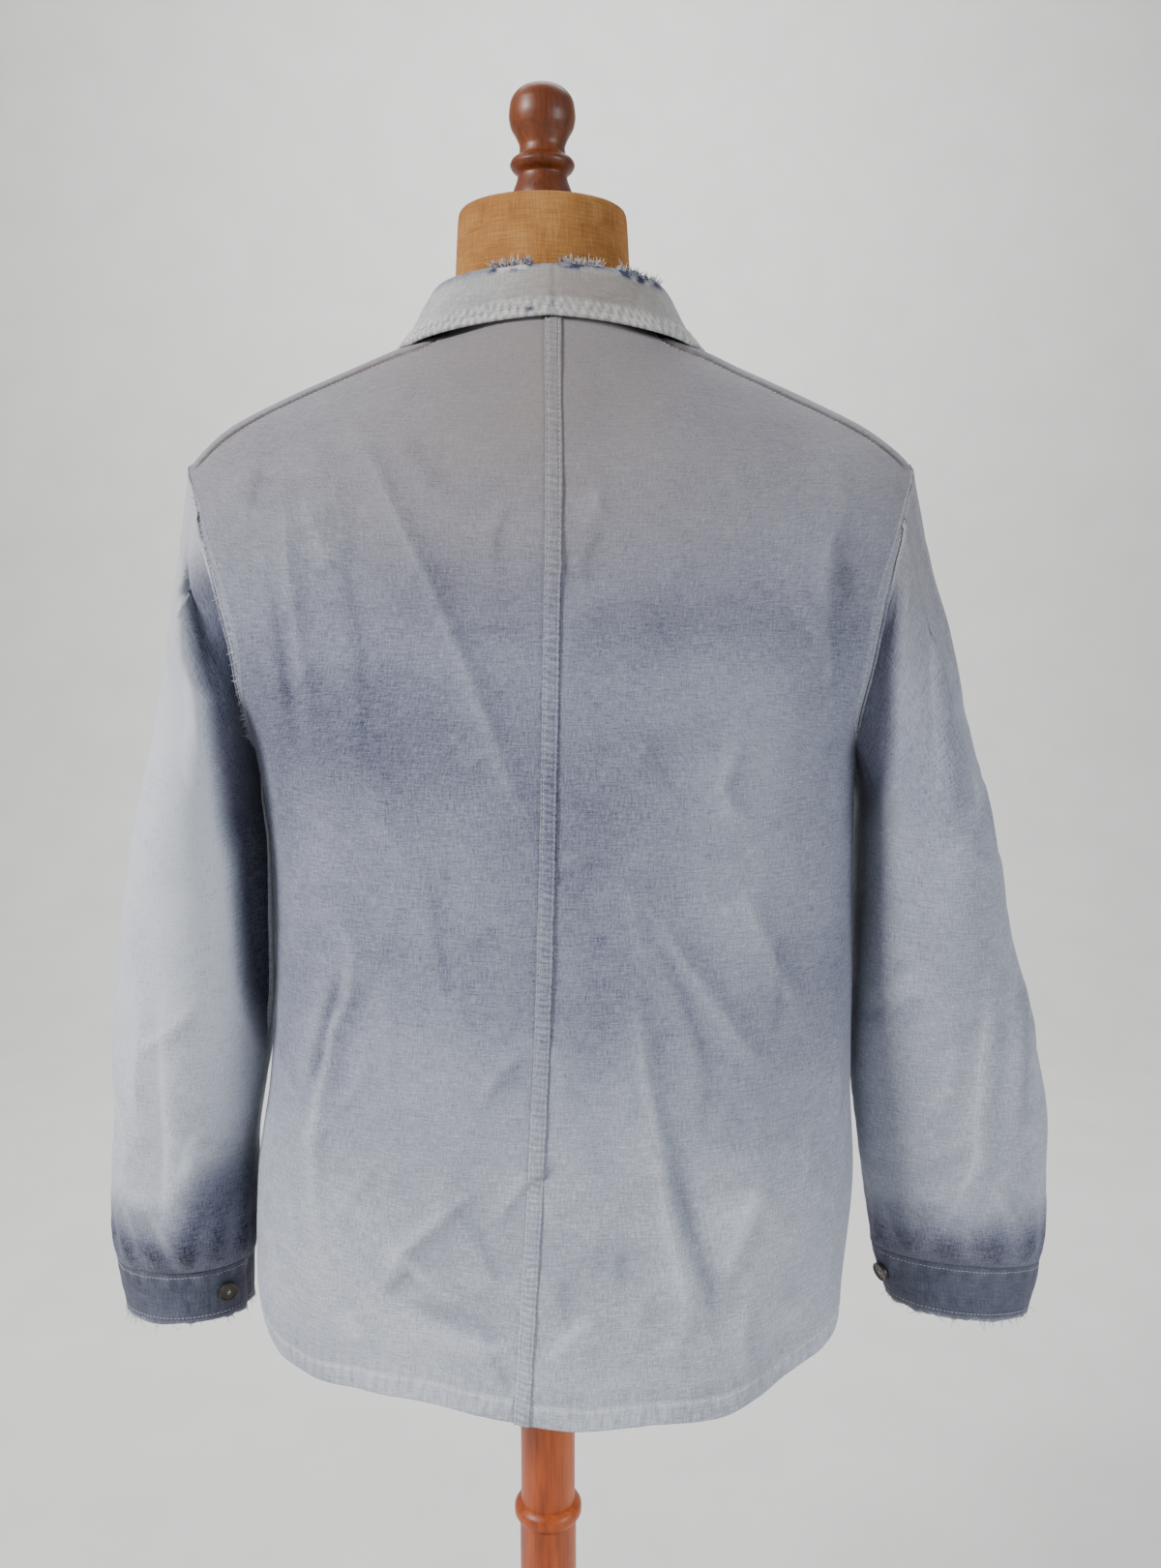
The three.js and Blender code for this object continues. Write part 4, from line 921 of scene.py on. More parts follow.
def felled_seam():
    left, right = panels["back_left"], panels["back_right"]
    path = (left["outer"][:, 0] + right["outer"][:, 0]) / 2
    top = ROWS - 3
    run = lengths(path[None, : top + 1])[0]
    at = np.linspace(0, run[-1], 520)
    pick = lambda grid: np.stack([np.interp(at, run, grid[: top + 1, k]) for k in range(3)], -1)
    middle = pick(path)
    across = unit(pick(right["outer"][:, 2]) - pick(left["outer"][:, 2]))
    out = unit(np.cross(across, np.gradient(middle, axis=0)))
    out *= np.sign(-out[:, 1:2])
    w = np.linspace(-FELL_WIDTH / 2, FELL_WIDTH / 2, 17)
    place = middle[:, None] + across[:, None] * w[None, :, None]
    edge_wander = 0.25 * rumple(place, 14, 21)
    place = place + across[:, None] * (edge_wander * np.abs(w) / 5)[..., None]
    ripple = np.sin(2 * np.pi * (at / 4.7)[:, None] + 2.4 * rumple(place, 11, 22) + 0.25 * w)
    inside = ease((STITCH_LINE - np.abs(w)) / 1.2)
    groove = line_bump(np.abs(w) - STITCH_LINE, 0.6)
    rim = line_bump(np.abs(w) - 4.6, 0.6)
    height = 1.1 + 0.28 * inside + 0.25 * rim - 0.5 * groove + ripple * (0.16 + 0.14 * inside)
    outer = place + out[:, None] * height[..., None]
    inner = place + out[:, None] * 0.1
    # The folded edge on the right of the strip is painted darker: painted shadow where the raised edge shades the
    # back.
    painted = {
        # Lower down the strip is painted paler, like the back: painted light.
        "fade": 0.48 + 0.12 * rim + 0.1 * ripple + 0.12 * groove + painted_patches(place[..., 0], place[..., 2])
        + 0.2 * ease((1040 - place[..., 2]) / 220) - 0.3 * line_bump(w - FELL_WIDTH / 2, 0.7),
        "dust": dust_of(place[..., 0], place[..., 2]) * 0.9,
        "pucker": 0.5 + 0 * ripple,
    }
    return outer, inner, painted, w


fell_outer, fell_inner, fell_painted, fell_w = felled_seam()
fell = shell("felled_seam", fell_outer, fell_inner, finish=BODY_COTTON, painted=fell_painted)
settle(fell, "seam_cotton", "centre_back_seam")
fell_normals = normals_of(fell_outer, 1)
fell_normals *= np.sign(-fell_normals[..., 1:2])
fell_lines = []
for line in (-STITCH_LINE, STITCH_LINE):
    rows = np.arange(len(fell_outer), dtype=float)
    columns = 0 * rows + np.interp(line, fell_w, np.arange(len(fell_w)))
    fell_lines.append((on_grid(fell_outer, rows, columns), on_grid(fell_normals, rows, columns)))
stitches["fell"] = stitched("stitches_felled_seam", fell_lines, "seam_cotton", pitch=2.9, length=2.1)

# %% [markdown]
# ## Sleeves
#
# A sleeve is one piece of cloth that is sewn into the armhole and closed along the arm. Its head
# starts exactly on the armhole's edge, stands out a little at the shoulder, creases at the
# armpit, and then falls to a tube that narrows to the cuff. With no arm inside, the tube is
# flattened and has long soft pulls, and small tucks where it is gathered into the cuff.
# %% Sleeve measures
SLEEVE_TOP, SLEEVE_END, SLEEVE_SQUARE = 1120, 770, 2.05
HEAD_ROWS, TUBE_ROWS = 42, 116
sleeve_shape = {
    "left": table("level outer inner middle depth", [
        [727, -331, -234, 12, 36], [769, -336, -232, 12, 38], [778, -336, -231, 11, 43],
        [806, -335, -229, 10, 52], [863, -330, -225, 8, 61], [941, -323, -212, 5, 70],
        [1001, -316, -206, 3, 76], [1090, -299, -205, 1, 82], [1120, -291, -207, 0, 83]]),
    "right": table("level outer inner middle depth", [
        [727, 379, 269, 12, 31], [769, 386, 256, 12, 27], [778, 386, 255, 11, 33],
        [806, 386, 250, 10, 42], [863, 384, 241, 8, 49], [941, 369, 233, 5, 62],
        [1001, 350, 233, 3, 72], [1090, 328, 233, 1, 81], [1120, 318, 233, 0, 82]]),
}
CUFF_SLOPE = {"left": 0, "right": 0.1}
SLEEVE_FOLDS = {
    "left": [
        (9, -2.6, [(-290, 1113), (-280, 1075)]),
        (10, -4.4, [(-276, 1009), (-282, 970), (-287, 933), (-292, 896)]),
        (9, 4.0, [(-266, 1020), (-272, 941), (-276, 881), (-286, 797)]),
        (8, -3.4, [(-284, 826), (-272, 795), (-267, 776)]),
        (8, -2.6, [(-306, 846), (-303, 800), (-301, 776)]),
        (7, 2.8, [(-292, 832), (-288, 800), (-284, 776)]),
        (9, 2.6, [(-237, 1262), (-238, 1209), (-240, 1154)]),
        (8, -2.6, [(-251, 1262), (-249, 1222)]),
        (8, 2.2, [(-262, 1140), (-274, 1100), (-290, 1070)]),
        (8, -2.4, [(-240, 1000), (-262, 975), (-290, 955)]),
        (7, 2.0, [(-318, 930), (-310, 890), (-312, 850)]),
        (7, 1.8, [(-250, 905), (-262, 880), (-268, 850)]),
    ],
    "right": [
        (10, -3.8, [(260, 1305), (277, 1255), (294, 1195), (306, 1154), (315, 1092), (316, 1062)]),
        (9, 3.0, [(251, 1315), (258, 1256), (262, 1188), (272, 1120)]),
        (10, 4.4, [(310, 1032), (312, 992), (313, 937), (317, 866), (306, 828), (290, 785)]),
        (8, -3.0, [(285, 836), (285, 785)]),
        (8, -3.0, [(257, 829), (275, 785)]),
        (8, -2.4, [(236, 985), (245, 1006), (262, 1035)]),
        (10, -4.0, [(340, 1030), (344, 960), (348, 880)]),
        (8, 2.4, [(330, 850), (345, 815), (350, 790)]),
        (7, -2.2, [(318, 815), (328, 785)]),
        (8, 2.0, [(280, 1000), (290, 960), (286, 900)]),
        (7, 2.0, [(365, 960), (372, 900)]),
    ],
}
crest_line = table("level left right", [
    [885, -203, 212], [920, -212, 214], [957, -217, 216], [1015, -223, 219], [1050, -223, 223],
    [1092, -223, 227], [1120, -226, 238], [1168, -228, 243], [1206, -229, 241], [1234, -237, 240],
    [1275, -244, 242], [1301, -249, 246], [1316, -253, 248]])
HOLLOWS = {"left": (880, 1322, 22, 0.85), "right": (1040, 1300, 9, 0.28)}  # bottom, top, depth, painted shade of the hollow
SLEEVE_FOLDS["left"] += scattered(27, 26, (-325, 850), (-225, 1250))
SLEEVE_FOLDS["right"] += scattered(28, 26, (245, 850), (370, 1250))
CREASE = math.radians(150)
LEAVE_TOP, LEAVE_BACK, HEAD_ARRIVE = 16, 14, 30
ARMHOLE_GAP_TOP, ARMHOLE_GAP_BACK = 0.5, 0.4


def sleeve_point(side, turn, level):
    """A point on a sleeve's section: turn 0 is its outer line and a quarter is its back."""
    shape = sleeve_shape[side]
    angle = turn * 2 * np.pi
    power = lambda value: np.sign(value) * np.abs(value) ** (2 / SLEEVE_SQUARE)
    outer, inner = shape["outer"](level), shape["inner"](level)
    x = (outer + inner) / 2 + (outer - inner) / 2 * power(np.cos(angle))
    y = shape["middle"](level) - shape["depth"](level) * power(np.sin(angle))
    return np.stack([x, y, level + 0 * x], -1)


def cuff_tilt(side, points):
    """Near the cuff, a point lies lower the further out it is."""
    z = points[..., 2]
    middle = (sleeve_shape[side]["outer"](z) + sleeve_shape[side]["inner"](z)) / 2
    drop = CUFF_SLOPE[side] * (np.abs(points[..., 0]) - np.abs(middle))
    tilted = points.copy()
    tilted[..., 2] -= ease((900 - z) / 130) * drop
    return tilted


def hollow(side, points):
    """1 where a sleeve sinks in beside the body, past the edge that catches the light."""
    x, y, z = np.moveaxis(points, -1, 0)
    past = (x - crest_line[side](z)) * (1 if side == "left" else -1)
    bottom, top = HOLLOWS[side][:2]
    return ease(past / 8) * ease(-y / 22) * ease((z - bottom) / 40) * ease((top - z) / 50)


print("sleeves from", SLEEVE_TOP, "to", SLEEVE_END)


# %% Sleeves
def armhole_ring(side):
    back, front = panels[f"back_{side}"], panels[f"front_{side}"]
    down, up = slice(TIP_ROW, ARMPIT_ROW, -1), slice(ARMPIT_ROW, TIP_ROW)
    points = np.concatenate([back["outer"][down, -1], front["outer"][up, -1]]).copy()
    normals = np.concatenate([back["normals"][down, -1], front["normals"][up, -1]])
    points[0, 1] = body["side"](TIP)
    return points, normals


def sleeve(side):
    ring, out = armhole_ring(side)
    count = len(ring)
    turn = np.arange(count) / count
    along = unit(np.roll(ring, -1, 0) - np.roll(ring, 1, 0))
    away = unit(np.cross(along, out)) * (-1 if side == "right" else 1)
    low = (1 - np.cos(2 * np.pi * turn)) / 2
    to_back = np.minimum(2 * low, 1)
    bend = CREASE * low**1.5
    turned_by = lambda angle: away * np.cos(angle)[:, None] + out * np.sin(angle)[:, None]
    first_normals = out * np.cos(bend)[:, None] - away * np.sin(bend)[:, None]
    leave = turned_by(bend) * mix(LEAVE_TOP, LEAVE_BACK, to_back)[:, None]
    start = ring + turned_by(bend / 2) * mix(ARMHOLE_GAP_TOP, ARMHOLE_GAP_BACK, to_back)[:, None]
    end = sleeve_point(side, turn, SLEEVE_TOP)
    arrive = sleeve_point(side, turn, SLEEVE_TOP - HEAD_ARRIVE) - end
    arrive *= 0.9 * np.linalg.norm(start - end, axis=-1, keepdims=True) / HEAD_ARRIVE
    s = (np.arange(HEAD_ROWS) / HEAD_ROWS)[:, None, None]
    head = (start * (2 * s**3 - 3 * s**2 + 1) + leave * (s**3 - 2 * s**2 + s)
            + end * (3 * s**2 - 2 * s**3) + arrive * (s**3 - s**2))
    levels = np.linspace(SLEEVE_TOP, SLEEVE_END, TUBE_ROWS + 1)
    tube = cuff_tilt(side, sleeve_point(side, turn[None], levels[:, None]))
    grid = np.concatenate([head, tube])
    rows = len(grid)
    row = np.arange(rows)[:, None]
    _, _, depth, hollow_shade = HOLLOWS[side]
    inwards = hollow(side, grid)
    grid[..., 1] += depth * inwards * ease((row - 0.3) / 3)
    sign = 1 if side == "left" else -1
    flat = normals_of(grid, sign, wraps=True)
    x, z = grid[..., 0], grid[..., 2]
    on_back = ease(np.sin(2 * np.pi * turn) / 0.35)[None]
    height = fold_height(SLEEVE_FOLDS[side], x, z) * on_back
    mirrored = fold_height(SLEEVE_FOLDS[side], x + 6 * rumple(grid, 80, 30), z + 22)
    height += 0.8 * mirrored * ease(-np.sin(2 * np.pi * turn) / 0.35)[None]
    seed = 40 if side == "left" else 50
    height += 1.0 * rumple(grid, 60, seed) + 0.7 * crumple(grid, 36, seed + 1) + 0.3 * crumple(grid, 17, seed + 2)
    # Gathers into the cuff
    tuck = np.sin(2 * np.pi * (13 * turn[None] + 0.35 * rumple(grid, 60, seed + 3)))
    height += 1.3 * tuck * ease((845 - z) / 55) * (0.4 + 0.6 * on_back)
    height *= ease(row / 16) * ease((rows - 1 - row) / 6)
    height += 0.45 * np.sin(2 * np.pi * 30 * turn[None]) * line_bump(row - 3, 2.5) * (1 - low)[None]
    outer = grid + flat * height[..., None]
    normals = normals_of(outer, sign, wraps=True)
    normals[0] = first_normals
    normals[-1, :, 2] = 0
    normals = unit(normals)
    inner = outer - normals * WALL
    # On the left sleeve's inner side the darker lower cloth reaches higher: the cloth's own darker blue, and
    # painted shade beside the body.
    inner_side = ease((x + 278) / 40) * (side == "left")
    lower = ease((838 + 12 * rumple(grid, 40, seed + 4) + 75 * inner_side - z) / (46 + 40 * inner_side))
    # The left sleeve is painted much paler than the right: painted light on the side the key lamp comes from, over
    # the faded cloth of both.
    upper, middle = (1.1, 0.9) if side == "left" else (0.62, 0.7)
    fade = mix(upper, middle, ease((1200 - z) / 350)) + 0.13 * worn_from(height)
    # Where the sleeve sinks in beside the body it is painted darker, most on the left: painted shade between sleeve
    # and body.
    fade = fade - hollow_shade * inwards - (middle - 0.22) * lower + 0.06 * rumple(grid, 90, seed + 5)
    fade += 0.15 * line_bump(row - 1, 2)
    painted = {
        "fade": fade,
        "dust": 0.5 * ease((z - 1150) / 180) * (1 - inwards),
        "pucker": 0.6 * ease((812 - z) / 20) + 0 * row,
    }
    return {"outer": outer, "inner": inner, "normals": normals, "painted": painted}


sleeves = {}
for side in ("left", "right"):
    sleeves[side] = sleeve(side)
    piece = shell(f"cloth_sleeve_{side}", sleeves[side]["outer"], sleeves[side]["inner"], wraps=True,
                  finish=BODY_COTTON, painted=sleeves[side]["painted"])
    cloths[f"sleeve_{side}"] = settle(piece, "jacket_cotton", f"sleeve_{side}")
    print(piece.name, len(piece.data.polygons), "faces")

# %% [markdown]
# ## Cuffs and plackets
#
# A cuff is a doubled band that goes once round the wrist and laps over itself, with a button at
# the overlap. It is less faded than the sleeve. Its lower edge has worn through and frays, and a
# stitched line near the upper edge is puckered. The placket is the narrow strip above it that
# binds the slit.
# %% Cuffs
CUFF_TOP, CUFF_END, CUFF_THICK, CUFF_PROUD = SLEEVE_END - 0.4, 727, 3, 1.2
CUFF_LAP = 0.07
CUFF_LAP_TURN = {"left": 0.45, "right": 0.53}


def cuff(side):
    shape = sleeve_shape[side]
    level = np.linspace(CUFF_END, CUFF_TOP, 22)[:, None]
    along = (np.linspace(0, 1, 181) * (1 + CUFF_LAP))[None]
    point = sleeve_point(side, CUFF_LAP_TURN[side] - along, level + 0 * along)
    middle = np.stack([(shape["outer"](level) + shape["inner"](level)) / 2 + 0 * along,
                       shape["middle"](level) + 0 * along, level + 0 * along], -1)
    out = unit(point - middle)
    under = ease((along - 0.92) / 0.09) * (CUFF_THICK + 0.5) + 0 * level
    seed = 60 if side == "left" else 70
    up, down = level - CUFF_END, CUFF_TOP - level
    run = along * 260
    ripple = np.sin(2 * np.pi * (run / 11 + 0.3 * rumple(point, 18, seed)))
    puff = 0.9 * rumple(point, 26, seed + 1) + 0.5 * crumple(point, 13, seed + 2)
    height = puff * ease(up / 8) * ease(down / 7) + 0.35 * ripple * ease(down / 3) * ease((16 - down) / 8)
    height -= 0.5 * line_bump(down - 4.5, 0.9) + 0.3 * line_bump(up - 5, 0.9)
    outer = cuff_tilt(side, point + out * (CUFF_PROUD - under + height)[..., None])
    inner = cuff_tilt(side, point + out * (CUFF_PROUD - under - CUFF_THICK)[..., None])
    ragged = 1.5 * crumple(point, 7, seed + 3) * ease((6 - up) / 6)
    outer[..., 2] += ragged
    inner[..., 2] += ragged
    fade = 0.36 + 0.45 * worn_from(height, 10) + 0.45 * line_bump(up, 2.5) + 0.2 * line_bump(down - 4.5, 1.5)
    fade = fade + 0.25 * line_bump(along, 0.012) + 0.08 * rumple(point, 20, seed + 4)
    painted = {"fade": fade, "dust": 0 * fade, "pucker": 0.6 + 0 * fade}
    return {"outer": outer, "inner": inner, "normals": out, "painted": painted}


cuffs = {}
for side in ("left", "right"):
    cuffs[side] = cuff(side)
    piece = shell(f"cloth_cuff_{side}", cuffs[side]["outer"], cuffs[side]["inner"],
                  finish=CUFF_COTTON, painted=cuffs[side]["painted"])
    cloths[f"cuff_{side}"] = settle(piece, "cuff_cotton", f"cuff_{side}")
    outer, normals = cuffs[side]["outer"], cuffs[side]["normals"]
    columns = np.arange(2, 168, dtype=float)
    runs = []
    for inset in (4.5, CUFF_TOP - CUFF_END - 5):
        rows = 0 * columns + 21 * (1 - inset / (CUFF_TOP - CUFF_END))
        runs.append((on_grid(outer, rows, columns), on_grid(normals, rows, columns)))
    stitches[f"cuff_{side}"] = stitched(f"stitches_cuff_{side}", runs, "cuff_cotton", pitch=2.9, length=2.0)


# %% Plackets
def placket(side):
    outer, normals = sleeves[side]["outer"], sleeves[side]["normals"]
    rows, columns = slice(len(outer) - 22, len(outer)), slice(56, 65)
    base, out = outer[rows, columns], normals[rows, columns]
    w = np.linspace(-1, 1, 9)[None]
    ridge = 0.9 + 0.2 * np.cos(w * np.pi / 2) - 0.35 * line_bump(np.abs(w) - 0.72, 0.12)
    fade = 0.34 + 0.3 * line_bump(np.abs(w) - 1, 0.25) + 0.1 * rumple(base, 20, 80)
    painted = {"fade": fade, "dust": 0 * fade, "pucker": 0.5 + 0 * fade}
    thick = (ridge + 0.12 * rumple(base, 8, 81))[..., None]
    return base + out * (0.1 + thick), base + out * 0.1, painted


for side in ("left", "right"):
    outer, inner, painted = placket(side)
    piece = shell(f"cloth_placket_{side}", outer, inner, finish=CUFF_COTTON, painted=painted)
    cloths[f"placket_{side}"] = settle(piece, "cuff_cotton", f"sleeve_placket_{side}")
    out = normals_of(outer)
    out *= np.sign(np.sum(out * (outer - inner), -1, keepdims=True))
    rows = np.arange(1, len(outer) - 1, dtype=float)
    runs = [(on_grid(outer, rows, 0 * rows + c), on_grid(out, rows, 0 * rows + c)) for c in (1.1, 6.9)]
    stitches[f"placket_{side}"] = stitched(f"stitches_placket_{side}", runs, "cuff_cotton", pitch=2.9, length=2.0)

# %% [markdown]
# ## Hip pockets
#
# Two patch pockets are sewn on the fronts, where the photograph doesn't show. Each is cut out of
# its front's own grid and lifted by a cloth's thickness, so that it follows the folds below, with
# a turned band at the mouth and stitching near its edge.
# %% Pockets
POCKET_LEVELS = (793.7, 953.2)
for side in ("left", "right"):
    panel = panels[f"front_{side}"]
    first, last = (int(np.argmin(np.abs(EDGE_LEVELS - level))) for level in POCKET_LEVELS)
    columns = slice(23, 69)
    base, out = panel["outer"][first : last + 1, columns], panel["normals"][first : last + 1, columns]
    grid_map = cloth_map(base)
    width, tall = grid_map[0, -1, 0], grid_map[-1, 0, 1]
    from_edge = np.minimum(np.minimum(grid_map[..., 0], width - grid_map[..., 0]), grid_map[..., 1])
    from_mouth = tall - grid_map[..., 1]
    height = 1.3 + 0.5 * rumple(base, 30, 90) * ease(from_edge / 12) - 0.4 * line_bump(from_edge - 4, 0.9)
    height += 0.5 * ease((22 - from_mouth) / 2) - 0.45 * line_bump(from_mouth - 21, 1.0)
    outer, inner = base + out * height[..., None], base + out * 0.12
    fade = 0.5 + 0.25 * line_bump(from_edge, 3) + 0.25 * line_bump(from_mouth, 4) + 0.08 * rumple(base, 40, 91)
    painted = {"fade": fade, "dust": 0 * fade, "pucker": 0.5 * ease((8 - from_edge) / 4)}
    piece = shell(f"cloth_pocket_{side}", outer, inner, finish=BODY_COTTON, painted=painted)
    cloths[f"pocket_{side}"] = settle(piece, "jacket_cotton", f"pocket_{side}")
    runs = []
    edge_rows, edge_columns = np.arange(len(outer), dtype=float), np.arange(outer.shape[1], dtype=float)
    step_up, step_across = tall / (len(outer) - 1), width / (outer.shape[1] - 1)
    for column in (4 / step_across, outer.shape[1] - 1 - 4 / step_across):
        runs.append((on_grid(outer, edge_rows, 0 * edge_rows + column), on_grid(out, edge_rows, 0 * edge_rows + column)))
    for row in (4 / step_up, len(outer) - 1 - 21 / step_up):
        runs.append((on_grid(outer, 0 * edge_columns + row, edge_columns), on_grid(out, 0 * edge_columns + row, edge_columns)))
    stitches[f"pocket_{side}"] = stitched(f"stitches_pocket_{side}", runs, "jacket_cotton")

# %% [markdown]
# ## Collar
#
# The collar stands up from the neckline, turns over and falls. Its section is drawn at every
# place round the neck from four measures: how high the fold stands, how far it leans, how far
# the edge reaches and how deep it falls. The fold at the back is worn through and the lower edge
# is topstitched, which ropes the cloth into slanting ripples.
# %% Collar measures
COLLAR_THICK, COLLAR_FOLD, COLLAR_CLEAR, COLLAR_END = 2, 2.2, 0.8, 4
LAY_DEPTH = 30
FRAYED_AT, FOLD_COLUMN = (-18, 26, 64), 19
collar_shape = table("around stand lean reach fall", [
    [0, 27, 0, 17, 31], [0.13, 27, 0, 18, 34], [0.25, 27, 0, 20, 38], [0.45, 27, -2, 24, 41],
    [0.65, 27, 2, 32, 48], [0.85, 18, 6, 38, 62], [1, 9, 6, 34, 58]])


def surface_level(x, y):
    """The highest level at which the body reaches over a place, by halving."""
    low, high = np.full(x.shape, float(ARMPIT)), np.full(x.shape, float(NECK_BACK))
    for _ in range(20):
        level = (low + high) / 2
        across = across_at(x, level)
        capped = np.clip(across, -1, 1)
        back, front = body_point("back", capped, level)[..., 1], body_point("front", capped, level)[..., 1]
        bound = np.where(y < body["side"](level), back, front)
        inside = (np.abs(across) < 1) & (np.abs(y) < np.abs(bound))
        low, high = np.where(inside, level, low), np.where(inside, high, level)
    return low


def clear_of_body(points):
    """Keeps the collar's fall above the shoulders and off the back and fronts."""
    clear = COLLAR_CLEAR + COLLAR_THICK / 2
    x, y = points[..., 0], points[..., 1]
    z = np.maximum(points[..., 2], surface_level(x, y) + clear)
    level = np.minimum(z, NECK_BACK)
    across = across_at(x, level)
    capped = np.clip(across, -1, 1)
    at_back = y < body["side"](level)
    sign = np.where(at_back, -1, 1)
    bound = np.where(at_back, body_point("back", capped, level)[..., 1], body_point("front", capped, level)[..., 1])
    moved = sign * np.maximum(sign * y, sign * (bound + sign * clear))
    return np.stack([x, np.where(np.abs(across) >= 1, y, moved), z], -1)


def gap_behind(points):
    """How far points stand off the back, behind it, with none at the shoulders' edge."""
    x, z = points[..., 0], np.minimum(points[..., 2], NECK_BACK - 1)
    across = across_at(x, z)
    back = body_point("back", np.clip(across, -1, 1), z)[..., 1]
    gap = back - COLLAR_CLEAR - COLLAR_THICK / 2 - points[..., 1]
    return np.clip(gap, 0, 24) * ease((0.97 - np.abs(across)) / 0.4) * (points[..., 1] < 0)


def neckline(count):
    """From the right centre front, round the back, to the left centre front."""
    tops = {name: panel["flat"][-1] for name, panel in panels.items()}
    ahead = {side: tops[f"front_{side}"] for side in ("left", "right")}
    right = ahead["right"][ahead["right"][:, 0] - FRONT_X > COLLAR_END]
    left = ahead["left"][FRONT_X - ahead["left"][:, 0] > COLLAR_END]
    line = np.concatenate([right, tops["back_right"][-2::-1], tops["back_left"][1:-1], left[::-1]])
    return evenly(line[None], count)[0]


print("neckline", round(float(lengths(neckline(200)[None])[0, -1])), "mm")


# %% Collar
def collar():
    base = neckline(241)
    run = lengths(base[None])[0]
    around = np.abs(2 * run / run[-1] - 1)
    out = unit(np.stack([base[:, 0] - BODY_CENTRE + 2, base[:, 1] - 4, 0 * run], -1))
    shape = {key: curve(around) for key, curve in collar_shape.items()}
    stand, lean, reach, fall = (shape[key] for key in ("stand", "lean", "reach", "fall"))
    spots = [(0, 0.4), (lean / 2, stand / 2), (lean, stand - COLLAR_FOLD), (lean + COLLAR_FOLD, stand),
             (lean + 2 * COLLAR_FOLD, stand - COLLAR_FOLD),
             (lean + 4 + reach * 0.33, stand - fall * 0.36), (lean + 4 + reach * 0.68, stand - fall * 0.7),
             (lean + 4 + reach, stand - fall)]
    section = np.stack([base + out * (0 * run + far)[:, None] + np.array([0, 0, 1]) * (0 * run + up)[:, None]
                        for far, up in spots], axis=1)
    section[:, 5:] = clear_of_body(section[:, 5:])
    steps = 45
    middle = np.empty((len(base), steps, 3))
    for line, made in zip(section, middle):
        length = lengths(line[None])[0]
        wanted = np.linspace(0, length[-1], steps)
        for axis in range(3):
            made[:, axis] = smooth(length, line[:, axis])(wanted)
    falls = lengths(middle)
    falls = falls[:, -1:] - falls
    keep = ease((falls.max() * 0.62 - falls) / 6)[..., None]
    middle = mix(middle, clear_of_body(middle), keep * (np.arange(steps) > steps // 2)[None, :, None])
    falls = lengths(middle)
    falls = falls[:, -1:] - falls
    shift = gap_behind(middle) * ease(1 - falls / LAY_DEPTH) * (np.arange(steps) > steps // 2)
    middle[..., 1] += blurred(shift, 60)
    middle = mix(middle, clear_of_body(middle), keep * (np.arange(steps) > steps // 2)[None, :, None])
    normals = normals_of(middle)
    normals *= np.sign(-normals[len(base) // 2, -4, 1])
    falls = lengths(middle)
    falls = falls[:, -1:] - falls
    share = np.arange(steps)[None] / (steps - 1) + 0 * falls
    along = run[:, None] + 0 * falls
    on_fall = ease((share - 0.42) / 0.1)
    rope = np.sin(2 * np.pi * (along / 5.2 + falls / 13 + 0.35 * rumple(middle, 12, 101)))
    soft = 0.8 * rumple(middle, 34, 102) + 0.7 * crumple(middle, 20, 103) + 0.3 * crumple(middle, 9, 108)
    roped = ease((14 - falls) / 5)
    height = on_fall * (soft * ease(falls / 8) + (0.5 + 0.6 * rope) * roped * ease(falls / 1.5))
    height -= on_fall * 0.5 * line_bump(falls - 6, 0.9)
    centre = middle[..., 0] - BODY_CENTRE
    height -= 0.5 * line_bump(centre, 0.9) * on_fall * (np.abs(along - run[-1] / 2) < 30)
    worn_through = sum(line_bump(middle[..., 0] - place, 13) for place in FRAYED_AT)
    frayed = line_bump(share - 0.45, 0.05) * worn_through * (middle[..., 1] < 0)
    height += frayed * (0.9 * crumple(middle, 5, 104) + 0.5 * rumple(middle, 3, 105) - 0.3)
    half = COLLAR_THICK / 2
    outer = middle + normals * (half + height)[..., None]
    inner = middle - normals * (half - 0.25 * height)[..., None]
    # A small hole near the centre back of the fall is not cut; it is painted as a dark spot, as painted shade
    # inside it.
    hole = np.exp(-(((middle[..., 0] + 6) / 2.2) ** 2) - ((falls - 4) / 1.8) ** 2) * (middle[..., 1] < 0)
    fade = 0.74 + 0.2 * worn_from(height, 12) + (0.06 + 0.2 * rope) * roped * on_fall
    fade = fade - 1.2 * frayed * ease(rumple(middle, 6, 106) * 3 + 0.2) + 0.5 * frayed * ease(rumple(middle, 3, 107) * 3)
    fade = fade - 0.35 * (1 - on_fall) - 1.2 * hole - 0.3 * line_bump(centre, 0.8) * on_fall * (middle[..., 1] < 0)
    painted = {
        "fade": fade,
        "dust": 1.1 * on_fall * line_bump(centre - 24, 62) * (1 - 0.6 * roped) * (1 - np.minimum(frayed, 1)),
        "pucker": 0.5 + 0.4 * ease((14 - falls) / 5),
    }
    return {"outer": outer, "inner": inner, "normals": normals, "painted": painted, "falls": falls, "along": along}


collar_grid = collar()
piece = shell("cloth_collar", collar_grid["outer"], collar_grid["inner"], finish=EDGE_COTTON,
              painted=collar_grid["painted"])
cloths["collar"] = settle(piece, "seam_cotton", "collar")
print(piece.name, len(piece.data.polygons), "faces")
stations = np.arange(2, len(collar_grid["outer"]) - 2, dtype=float)
columns = np.array([np.interp(-6, -collar_grid["falls"][int(s)], np.arange(45.0)) for s in stations])
runs = [(on_grid(collar_grid["outer"], stations, columns), on_grid(collar_grid["normals"], stations, columns))]
stitches["collar"] = stitched("stitches_collar", runs, "seam_cotton", pitch=3.0, length=2.1)

